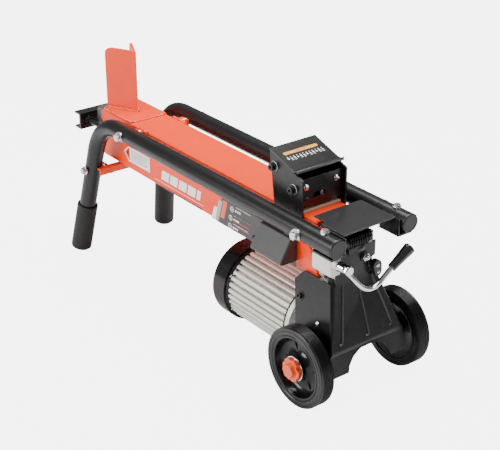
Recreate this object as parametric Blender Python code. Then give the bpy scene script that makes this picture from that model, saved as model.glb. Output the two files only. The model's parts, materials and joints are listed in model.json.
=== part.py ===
"""Horizontal log splitter, 5 t class: hydraulic beam on two tube legs and two wheels.

Frame: +Z up, ground at z = 0, +X towards the wheels and the control lever,
the labelled side is -Y.  Lengths below are in millimetres, measured from the
wheel axle; X0 moves the whole machine so that its box is centred on x = 0.
"""

import math

import bmesh
import bpy
from mathutils import Matrix, Vector

MM = 0.001
X0 = 375.0
GAP = 0.3

# Beam, which is also the oil tank
BEAM_HALF = 47.4
BEAM_TOP = 320.0
BEAM_LOW = 210.0
BEAM_WALL = 4.0
BEAM_FAR = -757.0
BEAM_NEAR = -44.0
BEAM_R = 9.0

# Hydraulic cylinder and the sliding set
CYL_Z = 281.0
CYL_OUT = 31.0
CYL_IN = 27.0
ROD_R = 14.0
HEAD_FAR = -781.0
TIE_Y = 57.5
TIE_R = 5.0
PLATE_IN = 48.4
PLATE_OUT = 52.2

# Side tubes, legs and feet
TUBE_Y = 83.4
TUBE_Z = 318.0
TUBE_R = 18.0
TUBE_IN = 15.5
BEND_X = -634.0
BEND_R = 85.0
FOOT_X = -771.0
FOOT_Y = 111.5
SLEEVE_R = 22.5
SLEEVE_LEN = 112.0
CAP_X = 54.3

# Wheels and axle
WHEEL_R = 76.0
WHEEL_OUT = 130.5
WHEEL_IN = 101.8
RIM_R = 62.0
AXLE_R = 8.0
CAP_R = 22.5

# Motor, axis along X under the beam
MOTOR_Z = 90.0
FAN_R = 79.5
FAN_END = -314.0
FAN_RIM = -278.0
BODY_END = -99.0
FIN_R = 75.0
CORE_R = 66.0
FINS = 36
SHAFT_R = 9.0


# ---------------------------------------------------------------- helpers
for old in list(bpy.data.objects):
    bpy.data.objects.remove(old, do_unlink=True)

parts = bpy.data.collections.new("log_splitter")
bpy.context.scene.collection.children.link(parts)
tools = bpy.data.collections.new("cutters")
bpy.context.scene.collection.children.link(tools)
materials = {}


def paint(name, colour, metallic=0.0, rough=0.5):
    """One Principled material for each kind of surface."""
    if name not in materials:
        made = bpy.data.materials.new(name)
        made.use_nodes = True
        shader = made.node_tree.nodes["Principled BSDF"]
        shader.inputs["Base Color"].default_value = (*colour, 1.0)
        shader.inputs["Metallic"].default_value = metallic
        shader.inputs["Roughness"].default_value = rough
        made.diffuse_color = (*colour, 1.0)
        materials[name] = made
    return materials[name]


KINDS = {
    "orange_paint": ((0.86, 0.13, 0.03), 0.0, 0.38),
    "black_paint": ((0.02, 0.02, 0.022), 0.0, 0.35),
    "black_plastic": ((0.022, 0.022, 0.024), 0.0, 0.5),
    "dark_grey_plastic": ((0.06, 0.06, 0.06), 0.0, 0.5),
    "rubber": ((0.016, 0.016, 0.017), 0.0, 0.75),
    "cast_aluminium": ((0.6, 0.6, 0.56), 0.85, 0.45),
    "zinc_steel": ((0.7, 0.7, 0.68), 1.0, 0.3),
    "bright_steel": ((0.75, 0.75, 0.77), 1.0, 0.15),
    "bare_steel": ((0.4, 0.4, 0.4), 1.0, 0.4),
    "nylon": ((0.75, 0.68, 0.55), 0.0, 0.5),
    "green_plastic": ((0.03, 0.35, 0.06), 0.0, 0.4),
}


def v(x, y, z):
    """Millimetres from the axle to metres in the machine's frame."""
    return Vector(((x + X0) * MM, y * MM, z * MM))


def keep(bm, name, kind=None):
    """Turns a bmesh into a part (kind given) or a hidden tool (kind None)."""
    bmesh.ops.recalc_face_normals(bm, faces=bm.faces)
    mesh = bpy.data.meshes.new(name)
    bm.to_mesh(mesh)
    bm.free()
    obj = bpy.data.objects.new(name, mesh)
    if kind is None:
        tools.objects.link(obj)
        obj.hide_render = True
        obj.display_type = "WIRE"
        return obj
    parts.objects.link(obj)
    mesh.materials.append(paint(name + "_" + kind, *KINDS[kind]))
    return obj


def bevel_all(bm, width, segments=1, test=None):
    """Rounds the sharp edges that pass the test."""
    if width <= 0:
        return
    bm.normal_update()
    picked = []
    for edge in bm.edges:
        if len(edge.link_faces) != 2 or edge.calc_face_angle(0) < 0.6:
            continue
        if test is None or test(edge):
            picked.append(edge)
    bmesh.ops.bevel(bm, geom=picked, offset=width * MM, segments=segments,
                    profile=0.5, affect="EDGES", clamp_overlap=True)


def block(x0, x1, y0, y1, z0, z1, bevel=0.0, segments=1, test=None):
    """A box between two corners."""
    bm = bmesh.new()
    bmesh.ops.create_cube(bm, size=1.0)
    low, high = v(x0, y0, z0), v(x1, y1, z1)
    size = high - low
    mid = (high + low) / 2
    bmesh.ops.scale(bm, vec=size, verts=bm.verts)
    bmesh.ops.translate(bm, vec=mid, verts=bm.verts)
    bevel_all(bm, bevel, segments, test)
    return bm


AIM = {
    "X": Matrix.Rotation(math.pi / 2, 3, "Y"),
    "Y": Matrix.Rotation(-math.pi / 2, 3, "X"),
    "Z": Matrix.Identity(3),
}


def rod(axis, a, b, centre, r, r2=None, sides=24, bevel=0.0, segments=1, turn=0.0):
    """A cylinder, cone or prism along an axis, from a to b, round a centre line."""
    bm = bmesh.new()
    r2 = r if r2 is None else r2
    length = (b - a) * MM
    bmesh.ops.create_cone(bm, cap_ends=True, segments=sides, radius1=r * MM,
                          radius2=r2 * MM, depth=length)
    bmesh.ops.rotate(bm, cent=(0, 0, 0), matrix=Matrix.Rotation(turn, 3, "Z"), verts=bm.verts)
    bmesh.ops.rotate(bm, cent=(0, 0, 0), matrix=AIM[axis], verts=bm.verts)
    mid = (a + b) / 2
    if axis == "X":
        where = v(mid, centre[0], centre[1])
    elif axis == "Y":
        where = v(centre[0], mid, centre[1])
    else:
        where = v(centre[0], centre[1], mid)
    bmesh.ops.translate(bm, vec=where, verts=bm.verts)
    bevel_all(bm, bevel, segments, lambda e: cap_edge(e, axis))
    return bm


def cap_edge(edge, axis):
    """True for an edge round an end cap of a cylinder along the axis."""
    i = "XYZ".index(axis)
    return abs(edge.verts[0].co[i] - edge.verts[1].co[i]) < 1e-6


def bar(start, end, r, sides=16):
    """A round bar between two points given in millimetres."""
    a, b = v(*start), v(*end)
    bm = bmesh.new()
    bmesh.ops.create_cone(bm, cap_ends=True, segments=sides, radius1=r * MM,
                          radius2=r * MM, depth=(b - a).length)
    turn = (b - a).to_track_quat("Z", "Y").to_matrix()
    bmesh.ops.rotate(bm, cent=(0, 0, 0), matrix=turn, verts=bm.verts)
    bmesh.ops.translate(bm, vec=(a + b) / 2, verts=bm.verts)
    return bm


def turned(profile, axis, centre, steps=48):
    """A closed (radius, along) profile spun round an axis through the centre."""
    bm = bmesh.new()
    ring = [bm.verts.new((r * MM, 0, h * MM)) for r, h in profile]
    edges = [bm.edges.new((ring[i], ring[(i + 1) % len(ring)])) for i in range(len(ring))]
    bmesh.ops.spin(bm, geom=ring + edges, cent=(0, 0, 0), axis=(0, 0, 1),
                   angle=2 * math.pi, steps=steps, use_merge=True)
    bmesh.ops.remove_doubles(bm, verts=bm.verts, dist=1e-6)
    bmesh.ops.rotate(bm, cent=(0, 0, 0), matrix=AIM[axis], verts=bm.verts)
    if axis == "X":
        where = v(0, centre[0], centre[1])
    elif axis == "Y":
        where = v(centre[0], 0, centre[1])
    else:
        where = v(centre[0], centre[1], 0)
    bmesh.ops.translate(bm, vec=where, verts=bm.verts)
    return bm


def slab(outline, plane, a, b, bevel=0.0, segments=1, test=None):
    """A flat outline in a plane (XZ, YZ or XY), extruded from a to b on the third axis."""
    bm = bmesh.new()
    def point(p, q, h):
        if plane == "XZ":
            return v(p, h, q)
        if plane == "YZ":
            return v(h, p, q)
        return v(p, q, h)
    ring = [bm.verts.new(point(p, q, a)) for p, q in outline]
    face = bm.faces.new(ring)
    out = bmesh.ops.extrude_face_region(bm, geom=[face])
    moved = [g for g in out["geom"] if isinstance(g, bmesh.types.BMVert)]
    shift = point(0, 0, b) - point(0, 0, a)
    bmesh.ops.translate(bm, vec=shift, verts=moved)
    bevel_all(bm, bevel, segments, test)
    return bm


def hull(points):
    """The convex solid round some points in millimetres."""
    bm = bmesh.new()
    for p in points:
        bm.verts.new(v(*p))
    bmesh.ops.convex_hull(bm, input=bm.verts)
    bmesh.ops.dissolve_limit(bm, angle_limit=0.01, verts=bm.verts, edges=bm.edges)
    return bm


def swept(path, r_out, r_in, sides=16):
    """A pipe (or a solid bar when r_in is 0) along a list of points in millimetres."""
    bm = bmesh.new()
    spots = [v(*p) for p in path]
    def loops(radius):
        made = []
        side = None
        for i, spot in enumerate(spots):
            before = spots[max(i - 1, 0)]
            after = spots[min(i + 1, len(spots) - 1)]
            along = (after - before).normalized()
            if side is None:
                side = along.cross(Vector((0, 1, 0)))
                if side.length < 0.2:
                    side = along.cross(Vector((0, 0, 1)))
            side = (side - along * side.dot(along)).normalized()
            other = along.cross(side)
            ring = []
            for k in range(sides):
                t = 2 * math.pi * k / sides
                ring.append(bm.verts.new(spot + (side * math.cos(t) + other * math.sin(t)) * radius * MM))
            made.append(ring)
        return made
    def skin(rings, flip):
        for one, two in zip(rings, rings[1:]):
            for k in range(sides):
                quad = [one[k], one[(k + 1) % sides], two[(k + 1) % sides], two[k]]
                bm.faces.new(quad[::-1] if flip else quad)
    outer = loops(r_out)
    skin(outer, False)
    if r_in > 0:
        inner = loops(r_in)
        skin(inner, True)
        for k in range(sides):
            n = (k + 1) % sides
            bm.faces.new([outer[0][k], inner[0][k], inner[0][n], outer[0][n]])
            bm.faces.new([outer[-1][k], outer[-1][n], inner[-1][n], inner[-1][k]])
    else:
        bm.faces.new(outer[0][::-1])
        bm.faces.new(outer[-1])
    return bm


def boolean(target, operand, operation):
    """Adds an exact Boolean of a hidden tool to a part."""
    if isinstance(operand, bmesh.types.BMesh):
        count = len([o for o in tools.objects if o.name.startswith(target.name)])
        operand = keep(operand, target.name + "_tool_" + str(count))
    made = target.modifiers.new(operation.lower() + "_" + operand.name, "BOOLEAN")
    made.operation = operation
    made.solver = "EXACT"
    made.object = operand
    return operand


def cut(target, *operands):
    for operand in operands:
        boolean(target, operand, "DIFFERENCE")


def fuse(target, *operands):
    for operand in operands:
        boolean(target, operand, "UNION")


def pivot(obj, x, y, z):
    """Moves the origin of a part to a joint axis, leaving its shape where it is."""
    spot = v(x, y, z)
    obj.data.transform(Matrix.Translation(-spot))
    obj.location = spot


def hexagon(axis, a, b, centre, across, bevel=0.0):
    """A hexagonal head or nut, measured across its flats."""
    return rod(axis, a, b, centre, across / math.sqrt(3), sides=6, turn=math.pi / 6)


def near_long(edge):
    """True for an edge that runs along X."""
    d = edge.verts[0].co - edge.verts[1].co
    return abs(d.x) > 0.9 * d.length


# ---------------------------------------------------------------- beam and wedge
beam_side = [(BEAM_FAR, BEAM_TOP), (BEAM_NEAR, BEAM_TOP), (-62, 266), (-38, 216), (-40, BEAM_LOW),
             (-716, BEAM_LOW), (-730, 217), (-744, 240), (BEAM_FAR, 268)]
beam = keep(slab(beam_side, "XZ", -BEAM_HALF, BEAM_HALF, BEAM_R, 2, near_long),
            "beam", "orange_paint")
inner_side = [(BEAM_FAR + 5, 316), (0, 316), (0, 214), (-712, 214), (-726, 221), (-740, 243),
              (BEAM_FAR + 5, 270)]
inner_half = BEAM_HALF - BEAM_WALL
cut(beam, slab(inner_side, "XZ", -inner_half, inner_half, 6, 2, near_long),
    rod("X", BEAM_FAR - 5, BEAM_FAR + 22, (0, CYL_Z), CYL_OUT + GAP, sides=32))
# The bed that a log lies on is a little proud of the beam's two ends
BED_FAR = -643.0
BED_NEAR = -180.0
RELIEF = 0.3
cut(beam, block(BEAM_FAR - 5, BED_FAR, -60, 60, BEAM_TOP - RELIEF, BEAM_TOP + 5),
    block(BED_NEAR, 0, -60, 60, BEAM_TOP - RELIEF, BEAM_TOP + 5))
BOLT_Z = 316.0
LUG_TOP = {-602: 319, -36: 318}
for side in (-1, 1):
    for x in (-602, -36):
        outer, inner = side * 65.0, side * (BEAM_HALF - 2)
        fuse(beam, block(x - 12, x + 11, min(outer, inner), max(outer, inner), 305, LUG_TOP[x]))
        cut(beam, rod("Y", min(outer, inner) - 3, max(outer, inner) + 3, (x, BOLT_Z), 4.4, sides=12))

base_plate = keep(block(-754, -645, -43, 43, BEAM_TOP + GAP, 324, 1.2), "wedge_base_plate",
                  "orange_paint")

WEDGE_Z = 456.0
wedge_plan = [(-685, 0), (-756, 34), (-758.6, 28.6), (-698.6, 0), (-758.6, -28.6), (-756, -34)]
wedge = keep(slab(wedge_plan, "XY", 324 + GAP, WEDGE_Z), "splitting_wedge", "orange_paint")
corner_bm = block(-800, -742, -60, 60, WEDGE_Z - 14, WEDGE_Z + 10)
corner = keep(corner_bm, "wedge_corner")
cut(corner, rod("Y", -70, 70, (-742, WEDGE_Z - 14), 14, sides=32))
cut(wedge, corner)

cross_bar = keep(block(-712.5, -696, -81, 81, 196, BEAM_LOW - GAP, 0), "leg_cross_bar",
                 "orange_paint")
cut(cross_bar, block(-730, -699, -90, 90, 190, 206.5))
for side in (-1, 1):
    a, b = sorted((side * 65, side * 68.5))
    fuse(cross_bar, block(-744, -698, a, b, 194, BEAM_LOW - GAP))

# ---------------------------------------------------------------- cylinder and its ends
cylinder = keep(rod("X", BEAM_FAR + GAP, -56.3, (0, CYL_Z), CYL_OUT, sides=32), "cylinder_tube",
                "bare_steel")
cut(cylinder, rod("X", BEAM_FAR - 10, 0, (0, CYL_Z), CYL_IN, sides=32))

head = keep(block(HEAD_FAR, BEAM_FAR - GAP, -45, 45, 245, 319, 9, 2, near_long), "cylinder_head",
            "cast_aluminium")
fuse(head, rod("X", BEAM_FAR - 2, -735, (0, CYL_Z), CYL_IN - GAP, sides=32))
cut(head, rod("X", -800, -700, (0, CYL_Z), ROD_R + GAP, sides=32))

LEVER_Y = -60.0
LEVER_Z = 271.0
valve = keep(block(-33, 4, -46, 46, 226.3, 298, 3), "valve_block", "cast_aluminium")
fuse(valve, block(-75, -28, -inner_half + GAP, inner_half - GAP, 214 + GAP, 316 - GAP, 7, 2,
                  near_long),
     block(-30, 4.7, -71, -40, 246, 283.5, 3),
     block(0, 22, -71, -47.5, 246, 283.5, 2),
     rod("X", 21, 31, (LEVER_Y, LEVER_Z), 10, sides=20))
cut(valve, rod("X", -80, -56, (0, CYL_Z), CYL_OUT + GAP, sides=32),
    rod("X", 1, 40, (LEVER_Y, LEVER_Z), 6 + GAP, sides=20),
    rod("X", -14, 2.2, (LEVER_Y, LEVER_Z), 9, sides=20),
    rod("Y", -69, 26, (-5, 258), 6 + GAP, sides=20),
    rod("X", -10, 20, (40.5, 236), 5 + GAP, sides=16))

# ---------------------------------------------------------------- side tubes and legs
def leg_path(side):
    """Centre line of a side tube: straight along X, one bend, then the splayed leg."""
    start = Vector((BEND_X, side * TUBE_Y, TUBE_Z))
    foot = Vector((FOOT_X, side * FOOT_Y, 5.2))
    along = Vector((-1, 0, 0))
    down = Vector((-0.1, 0.1 * side, -1)).normalized()
    for _ in range(12):
        turn = along.angle(down)
        across = (down - along * down.dot(along)).normalized()
        end = start + BEND_R * (math.sin(turn) * along + (1 - math.cos(turn)) * across)
        down = (foot - end).normalized()
    path = [Vector((50, side * TUBE_Y, TUBE_Z))]
    for i in range(8):
        t = turn * i / 7
        path.append(start + BEND_R * (math.sin(t) * along + (1 - math.cos(t)) * across))
    return path, foot, down


for side, where in ((-1, "near"), (1, "far")):
    path, foot, down = leg_path(side)
    up = -down
    tube = keep(swept(path + [foot + up * 4.4], TUBE_R, TUBE_IN), "tube_leg_" + where,
                "black_paint")
    sleeve = keep(bar(foot, foot + up * SLEEVE_LEN, SLEEVE_R, 24), "foot_sleeve_" + where,
                  "rubber")
    cut(sleeve, bar(foot + up * 4, foot + up * 140, TUBE_R + GAP, 24))
    cap = keep(rod("X", 50 + GAP, CAP_X, (side * TUBE_Y, TUBE_Z), TUBE_R, bevel=1.2),
               "tube_cap_" + where, "black_plastic")
    fuse(cap, rod("X", 38, 52, (side * TUBE_Y, TUBE_Z), TUBE_IN - GAP))

    # Bolts that run across the tube, each with a curved saddle washer under its head
    for x, end in ((-602, "wedge_end"), (-36, "wheel_end")):
        name = "tube_bolt_" + end + "_" + where
        washer = keep(rod("X", x - 14, x + 14, (side * TUBE_Y, TUBE_Z), TUBE_R + 2.2, sides=24),
                      name, "zinc_steel")
        cut(washer, rod("X", x - 20, x + 20, (side * TUBE_Y, TUBE_Z), TUBE_R + 0.3, sides=24))
        a, b = sorted((side * 90, side * 110))
        boolean(washer, rod("Y", a, b, (x, BOLT_Z), 11.5, sides=16), "INTERSECT")
        a, b = sorted((side * 102.2, side * 110.5))
        fuse(washer, hexagon("Y", a, b, (x, BOLT_Z), 13))
        a, b = sorted((side * 50, side * 104))
        fuse(washer, rod("Y", a, b, (x, BOLT_Z), 4, sides=12))
        a, b = sorted((side * 60, side * 120))
        cut(tube, rod("Y", a, b, (x, BOLT_Z), 4 + GAP, sides=12))

    # Bolt that ties the leg to the cross bar
    spot = foot + up * ((203 - foot.z) / up.z)
    name = "leg_bolt_" + where
    a, b = sorted((side * (abs(spot.y) + 20), side * (abs(spot.y) + 22.5)))
    bolt = keep(rod("Y", a, b, (spot.x, 203), 9.5, sides=20), name, "zinc_steel")
    a, b = sorted((side * (abs(spot.y) + 22), side * (abs(spot.y) + 29)))
    fuse(bolt, hexagon("Y", a, b, (spot.x, 203), 13))
    a, b = sorted((side * (abs(spot.y) - 25), side * (abs(spot.y) + 21)))
    fuse(bolt, rod("Y", a, b, (spot.x, 203), 4, sides=12))
    a, b = sorted((side * (abs(spot.y) - 40), side * (abs(spot.y) + 40)))
    cut(tube, rod("Y", a, b, (spot.x, 203), 4 + GAP, sides=12))
    a, b = sorted((side * 60, side * 75))
    cut(cross_bar, rod("Y", a, b, (spot.x, 203), 4 + GAP, sides=12))

    # Bolt down through the wheel end of the tube into its saddle bracket
    bolt = keep(rod("Z", TUBE_Z + 14, TUBE_Z + 20.5, (18, side * TUBE_Y), 8, sides=20),
                "top_bolt_" + where, "zinc_steel")
    cut(bolt, rod("X", 0, 36, (side * TUBE_Y, TUBE_Z), TUBE_R + 0.2, sides=28))
    fuse(bolt, hexagon("Z", TUBE_Z + 18, TUBE_Z + 24, (18, side * TUBE_Y), 12),
         rod("Z", 297, TUBE_Z + 20, (18, side * TUBE_Y), 4, sides=16))
    cut(tube, rod("Z", 290, 350, (18, side * TUBE_Y), 4 + GAP, sides=16))

    a, b = sorted((side * 61, side * 94))
    saddle = keep(block(-2, 48, a, b, 295.5, 329.7), "saddle_bracket_" + where, "black_paint")
    a, b = sorted((side * 64, side * 110))
    cut(saddle, block(-20, 60, a, b, TUBE_Z - TUBE_R - GAP, 340))
    cut(saddle, rod("Z", 270, 310, (18, side * TUBE_Y), 4 + GAP, sides=12))

# ---------------------------------------------------------------- wheel end of the frame
cover = keep(block(-50, 40, -60.6, 60.6, 330, 332.5, 0), "cover_plate", "black_paint")
cut(cover, block(-60, -20, -70, -50, 320, 340))

grip = keep(rod("Y", -44, 10, (25, 308), 14, sides=24, bevel=2), "carry_grip",
            "black_plastic")
fuse(grip, block(9, 26, -34, 4, 280 + GAP, 298))

SKIRT_TOP = 218.0
SKIRT_FOLD = 107.0
SKIRT_LOW = 66.0
SHEET = 3.0


def skirt(inset):
    """The tapered sheet-metal bracket as a solid, or its inside when inset is the sheet."""
    top, fold, low = SKIRT_TOP, SKIRT_FOLD, SKIRT_LOW
    if inset:
        top, low = SKIRT_TOP + 20, SKIRT_LOW - 20
    lean = 0.385
    taper = 0.2966
    flare = 10 / (SKIRT_FOLD - SKIRT_LOW)
    def level(z, x, y):
        back = -51 - 0.397 * max(z - fold, 0) - inset * 10
        return [(back, -y, z), (back, y, z), (x, -y, z), (x, y, z)]
    upper = hull(level(top, 48 - lean * (top - fold) - inset, 86 - taper * (top - fold) - inset)
                 + level(fold, 48 - inset, 86 - inset))
    lower = hull(level(fold + 0.01, 48 - inset, 86 - inset)
                 + level(low, 48 + flare * (fold - low) - inset, 86 - inset))
    return upper, lower


upper, lower = skirt(0)
bracket = keep(upper, "wheel_bracket", "black_paint")
fuse(bracket, lower)
upper, lower = skirt(SHEET)
cut(bracket, upper, lower)
tongue = [(-46, SKIRT_TOP - 12), (31, SKIRT_TOP - 12), (31, 247), (46, 251), (46, 280), (-46, 280)]
fuse(bracket, slab(tongue, "YZ", 5, 8))
arch_half = [(52, 40), (52, 66), (48, 78), (36, 92), (18, 101), (0, 103.5)]
arch_line = arch_half + [(-y, z) for y, z in arch_half[-2::-1]]
arch = slab(arch_line, "YZ", 20, 90)
cut(bracket, arch, slab([(-87, 197), (-66, 221), (-66, 240), (-140, 240), (-140, 150)], "XZ", -100, 100),
    rod("Y", -100, 100, (0, WHEEL_R), AXLE_R + GAP, sides=20))

axle = keep(rod("Y", -137, 137, (0, WHEEL_R), AXLE_R, sides=24, bevel=1), "axle", "zinc_steel")

dome = keep(hexagon("X", 8 + GAP, 15, (19, 256), 14), "dome_nut", "zinc_steel")
fuse(dome, rod("X", 8 + GAP, 10, (19, 256), 10, sides=24),
     rod("X", 14.5, 21, (19, 256), 6.5, 3, sides=16))

# ---------------------------------------------------------------- wheels
def ring_at(side, points):
    """A wheel profile for one side: (radius, distance from the middle of the machine)."""
    return [(r, side * h) for r, h in points]


for side, where in ((-1, "near"), (1, "far")):
    hub = [(8.5, 98), (8.5, 131), (18, 131), (20, 112), (30, 110), (50, 112), (55.5, 129),
           (61.7, 129), (61.7, 103.5), (52, 103.5), (48, 106.5), (24, 106.5), (20, 98)]
    rim = keep(turned(ring_at(side, hub), "Y", (0, WHEEL_R), 32), "wheel_rim_" + where,
               "black_plastic")
    for i in range(6):
        t = math.pi / 6 + i * math.pi / 3
        rib = block(17, 53, -2.2, 2.2, 0, 10)
        bmesh.ops.translate(rib, vec=-v(0, 0, 0), verts=rib.verts)
        bmesh.ops.rotate(rib, cent=(0, 0, 0), matrix=Matrix.Rotation(math.pi / 2, 3, "X"),
                         verts=rib.verts)
        bmesh.ops.rotate(rib, cent=(0, 0, 0), matrix=Matrix.Rotation(t, 3, "Y"), verts=rib.verts)
        low = 108 if side > 0 else -108
        bmesh.ops.translate(rib, vec=v(0, low + (10 if side > 0 else 0), WHEEL_R),
                            verts=rib.verts)
        fuse(rim, rib)
    pivot(rim, 0, side * 115, WHEEL_R)
    tread = [(62, 103.8), (62, 128.5), (64, WHEEL_OUT), (74.6, WHEEL_OUT), (WHEEL_R, 129.1),
             (WHEEL_R, 103.2), (74.6, WHEEL_IN), (64, WHEEL_IN)]
    tyre = keep(turned(ring_at(side, tread), "Y", (0, WHEEL_R), 36), "tyre_" + where, "rubber")
    pivot(tyre, 0, side * 115, WHEEL_R)
    a, b = sorted((side * 131.3, side * 139))
    star = keep(rod("Y", a, b, (0, WHEEL_R), CAP_R, sides=32, bevel=1), "hub_cap_" + where,
                "orange_paint")
    for i in range(6):
        t = i * math.pi / 3
        cut(star, rod("Y", a - 2, b + 2, (27 * math.sin(t), WHEEL_R + 27 * math.cos(t)), 7.5,
                      sides=16))
    a, b = sorted((side * 138, side * 146))
    fuse(star, hexagon("Y", a, b, (0, WHEEL_R), 24))
    a, b = sorted((side * 116, side * (137 + GAP)))
    cut(star, rod("Y", a, b, (0, WHEEL_R), AXLE_R + GAP, sides=24))

# ---------------------------------------------------------------- motor and pump
def toothed(teeth, tip, root, width_tip, width_root):
    """Outline of a wheel with straight-sided teeth, as (y, z) round (0, 0)."""
    points = []
    for i in range(teeth):
        t = 2 * math.pi * i / teeth
        for r, half in ((root, -width_root), (tip, -width_tip), (tip, width_tip),
                        (root, width_root)):
            a = t + half / r
            points.append((r * math.cos(a), r * math.sin(a)))
    return points


fins = [(y, z + MOTOR_Z) for y, z in toothed(FINS, FIN_R, CORE_R, 1.5, 2.4)]
motor = keep(slab(fins, "YZ", FAN_RIM - 6, BODY_END), "motor_body", "cast_aluminium")
cut(motor, rod("X", FAN_RIM - 20, BODY_END - 9, (0, MOTOR_Z), 60, sides=32),
    rod("X", -130, -90, (0, MOTOR_Z), SHAFT_R + GAP, sides=24))

hood = [(FAN_R, FAN_RIM), (FAN_R, FAN_END + 8), (FAN_R - 3, FAN_END + 2), (FAN_R - 9, FAN_END),
        (12, FAN_END), (12, FAN_END + 3), (FAN_R - 10, FAN_END + 3), (FAN_R - 4, FAN_END + 9),
        (FAN_R - 4, FAN_RIM)]
fan_cover = keep(turned(hood, "X", (0, MOTOR_Z), 32), "fan_cover", "black_plastic")
for i in range(8):
    t = math.pi * i / 4 + 0.07
    y, z = 46 * math.sin(t), 46 * math.cos(t)
    cut(fan_cover, rod("X", FAN_END - 5, FAN_END + 8, (y, MOTOR_Z + z), 8, sides=8))

GEAR_STEP = 28.0
gear = toothed(10, 14.6, 12.4, 1.2, 2.4)
rotor = keep(rod("X", -302, -74, (0, MOTOR_Z), SHAFT_R - 3, sides=24), "motor_rotor",
             "bare_steel")
fuse(rotor, rod("X", -290, -96.5, (0, MOTOR_Z), SHAFT_R, sides=24),
     rod("X", -260, -130, (0, MOTOR_Z), 40, sides=32),
     slab([(y, z + MOTOR_Z) for y, z in gear], "YZ", -97, -85),
     rod("X", -304, -301, (0, MOTOR_Z), 58, sides=32))
for i in range(6):
    t = math.pi / 3 * i
    blade = block(-301.5, -288, 10, 56, -1.5, 1.5)
    bmesh.ops.translate(blade, vec=Vector((0, 0, 0)), verts=blade.verts)
    bmesh.ops.rotate(blade, cent=(0, 0, 0), matrix=Matrix.Rotation(t + 0.2, 3, "X"),
                     verts=blade.verts)
    bmesh.ops.translate(blade, vec=(0, 0, MOTOR_Z * MM), verts=blade.verts)
    fuse(rotor, blade)
pivot(rotor, -200, 0, MOTOR_Z)

half_tooth = math.pi / 10
turned_gear = [(y * math.cos(half_tooth) - z * math.sin(half_tooth),
                y * math.sin(half_tooth) + z * math.cos(half_tooth)) for y, z in gear]
driven = keep(slab([(y, z + MOTOR_Z + GEAR_STEP) for y, z in turned_gear], "YZ", -97, -85),
              "pump_driven_gear", "bare_steel")
fuse(driven, rod("X", -90, -75, (0, MOTOR_Z + GEAR_STEP), SHAFT_R - 3, sides=24))
pivot(driven, -91, 0, MOTOR_Z + GEAR_STEP)

pump = keep(rod("X", BODY_END + GAP, -88, (0, MOTOR_Z), 74, sides=36), "pump_housing",
            "cast_aluminium")
fuse(pump, block(-89, -22, -38, 38, 50, 170, 4),
     block(-80, -26, -30, 30, 160, 226, 4))
cut(pump, rod("X", -110, -84, (0, MOTOR_Z), 15.2, sides=32),
    rod("X", -110, -84, (0, MOTOR_Z + GEAR_STEP), 15.2, sides=32),
    rod("X", -90, -73, (0, MOTOR_Z), SHAFT_R - 3 + GAP, sides=24),
    rod("X", -90, -73, (0, MOTOR_Z + GEAR_STEP), SHAFT_R - 3 + GAP, sides=24))
cut(pump, block(-110, -20, -60, 60, 209.5, 240))

# ---------------------------------------------------------------- switch box
BOX_FAR = -186.0
BOX_NEAR = -95.0
BUTTON = (-56, 252)
INLET = (-64, 235)
box_end = [(-BEAM_HALF - GAP, 273), (-62, 273), (-87, 229), (-83, 224), (-BEAM_HALF - GAP, 224)]
box = keep(slab(box_end, "YZ", BOX_FAR, BOX_NEAR, 2, 1), "switch_box", "dark_grey_plastic")
cut(box, slab([(-45, 269), (-59, 269), (-82.5, 229), (-81, 228), (-45, 228)], "YZ",
              BOX_FAR + 4, BOX_NEAR - 4),
    rod("X", BOX_FAR - 8, BOX_FAR + 12, BUTTON, 5 + GAP, sides=16))
button = keep(rod("X", BOX_FAR - 4, BOX_FAR + 8, BUTTON, 5, sides=16, bevel=1), "start_button",
              "green_plastic")
fuse(button, rod("X", BOX_FAR + 5.5, BOX_FAR + 9, BUTTON, 6.5, sides=16))
pivot(button, BOX_FAR, *BUTTON)
inlet = keep(rod("X", BOX_FAR - 16, BOX_FAR - GAP, INLET, 5.5, sides=16, bevel=1), "cable_inlet",
             "black_plastic")
fuse(inlet, hexagon("X", BOX_FAR - 7, BOX_FAR - 2, INLET, 13))

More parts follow.
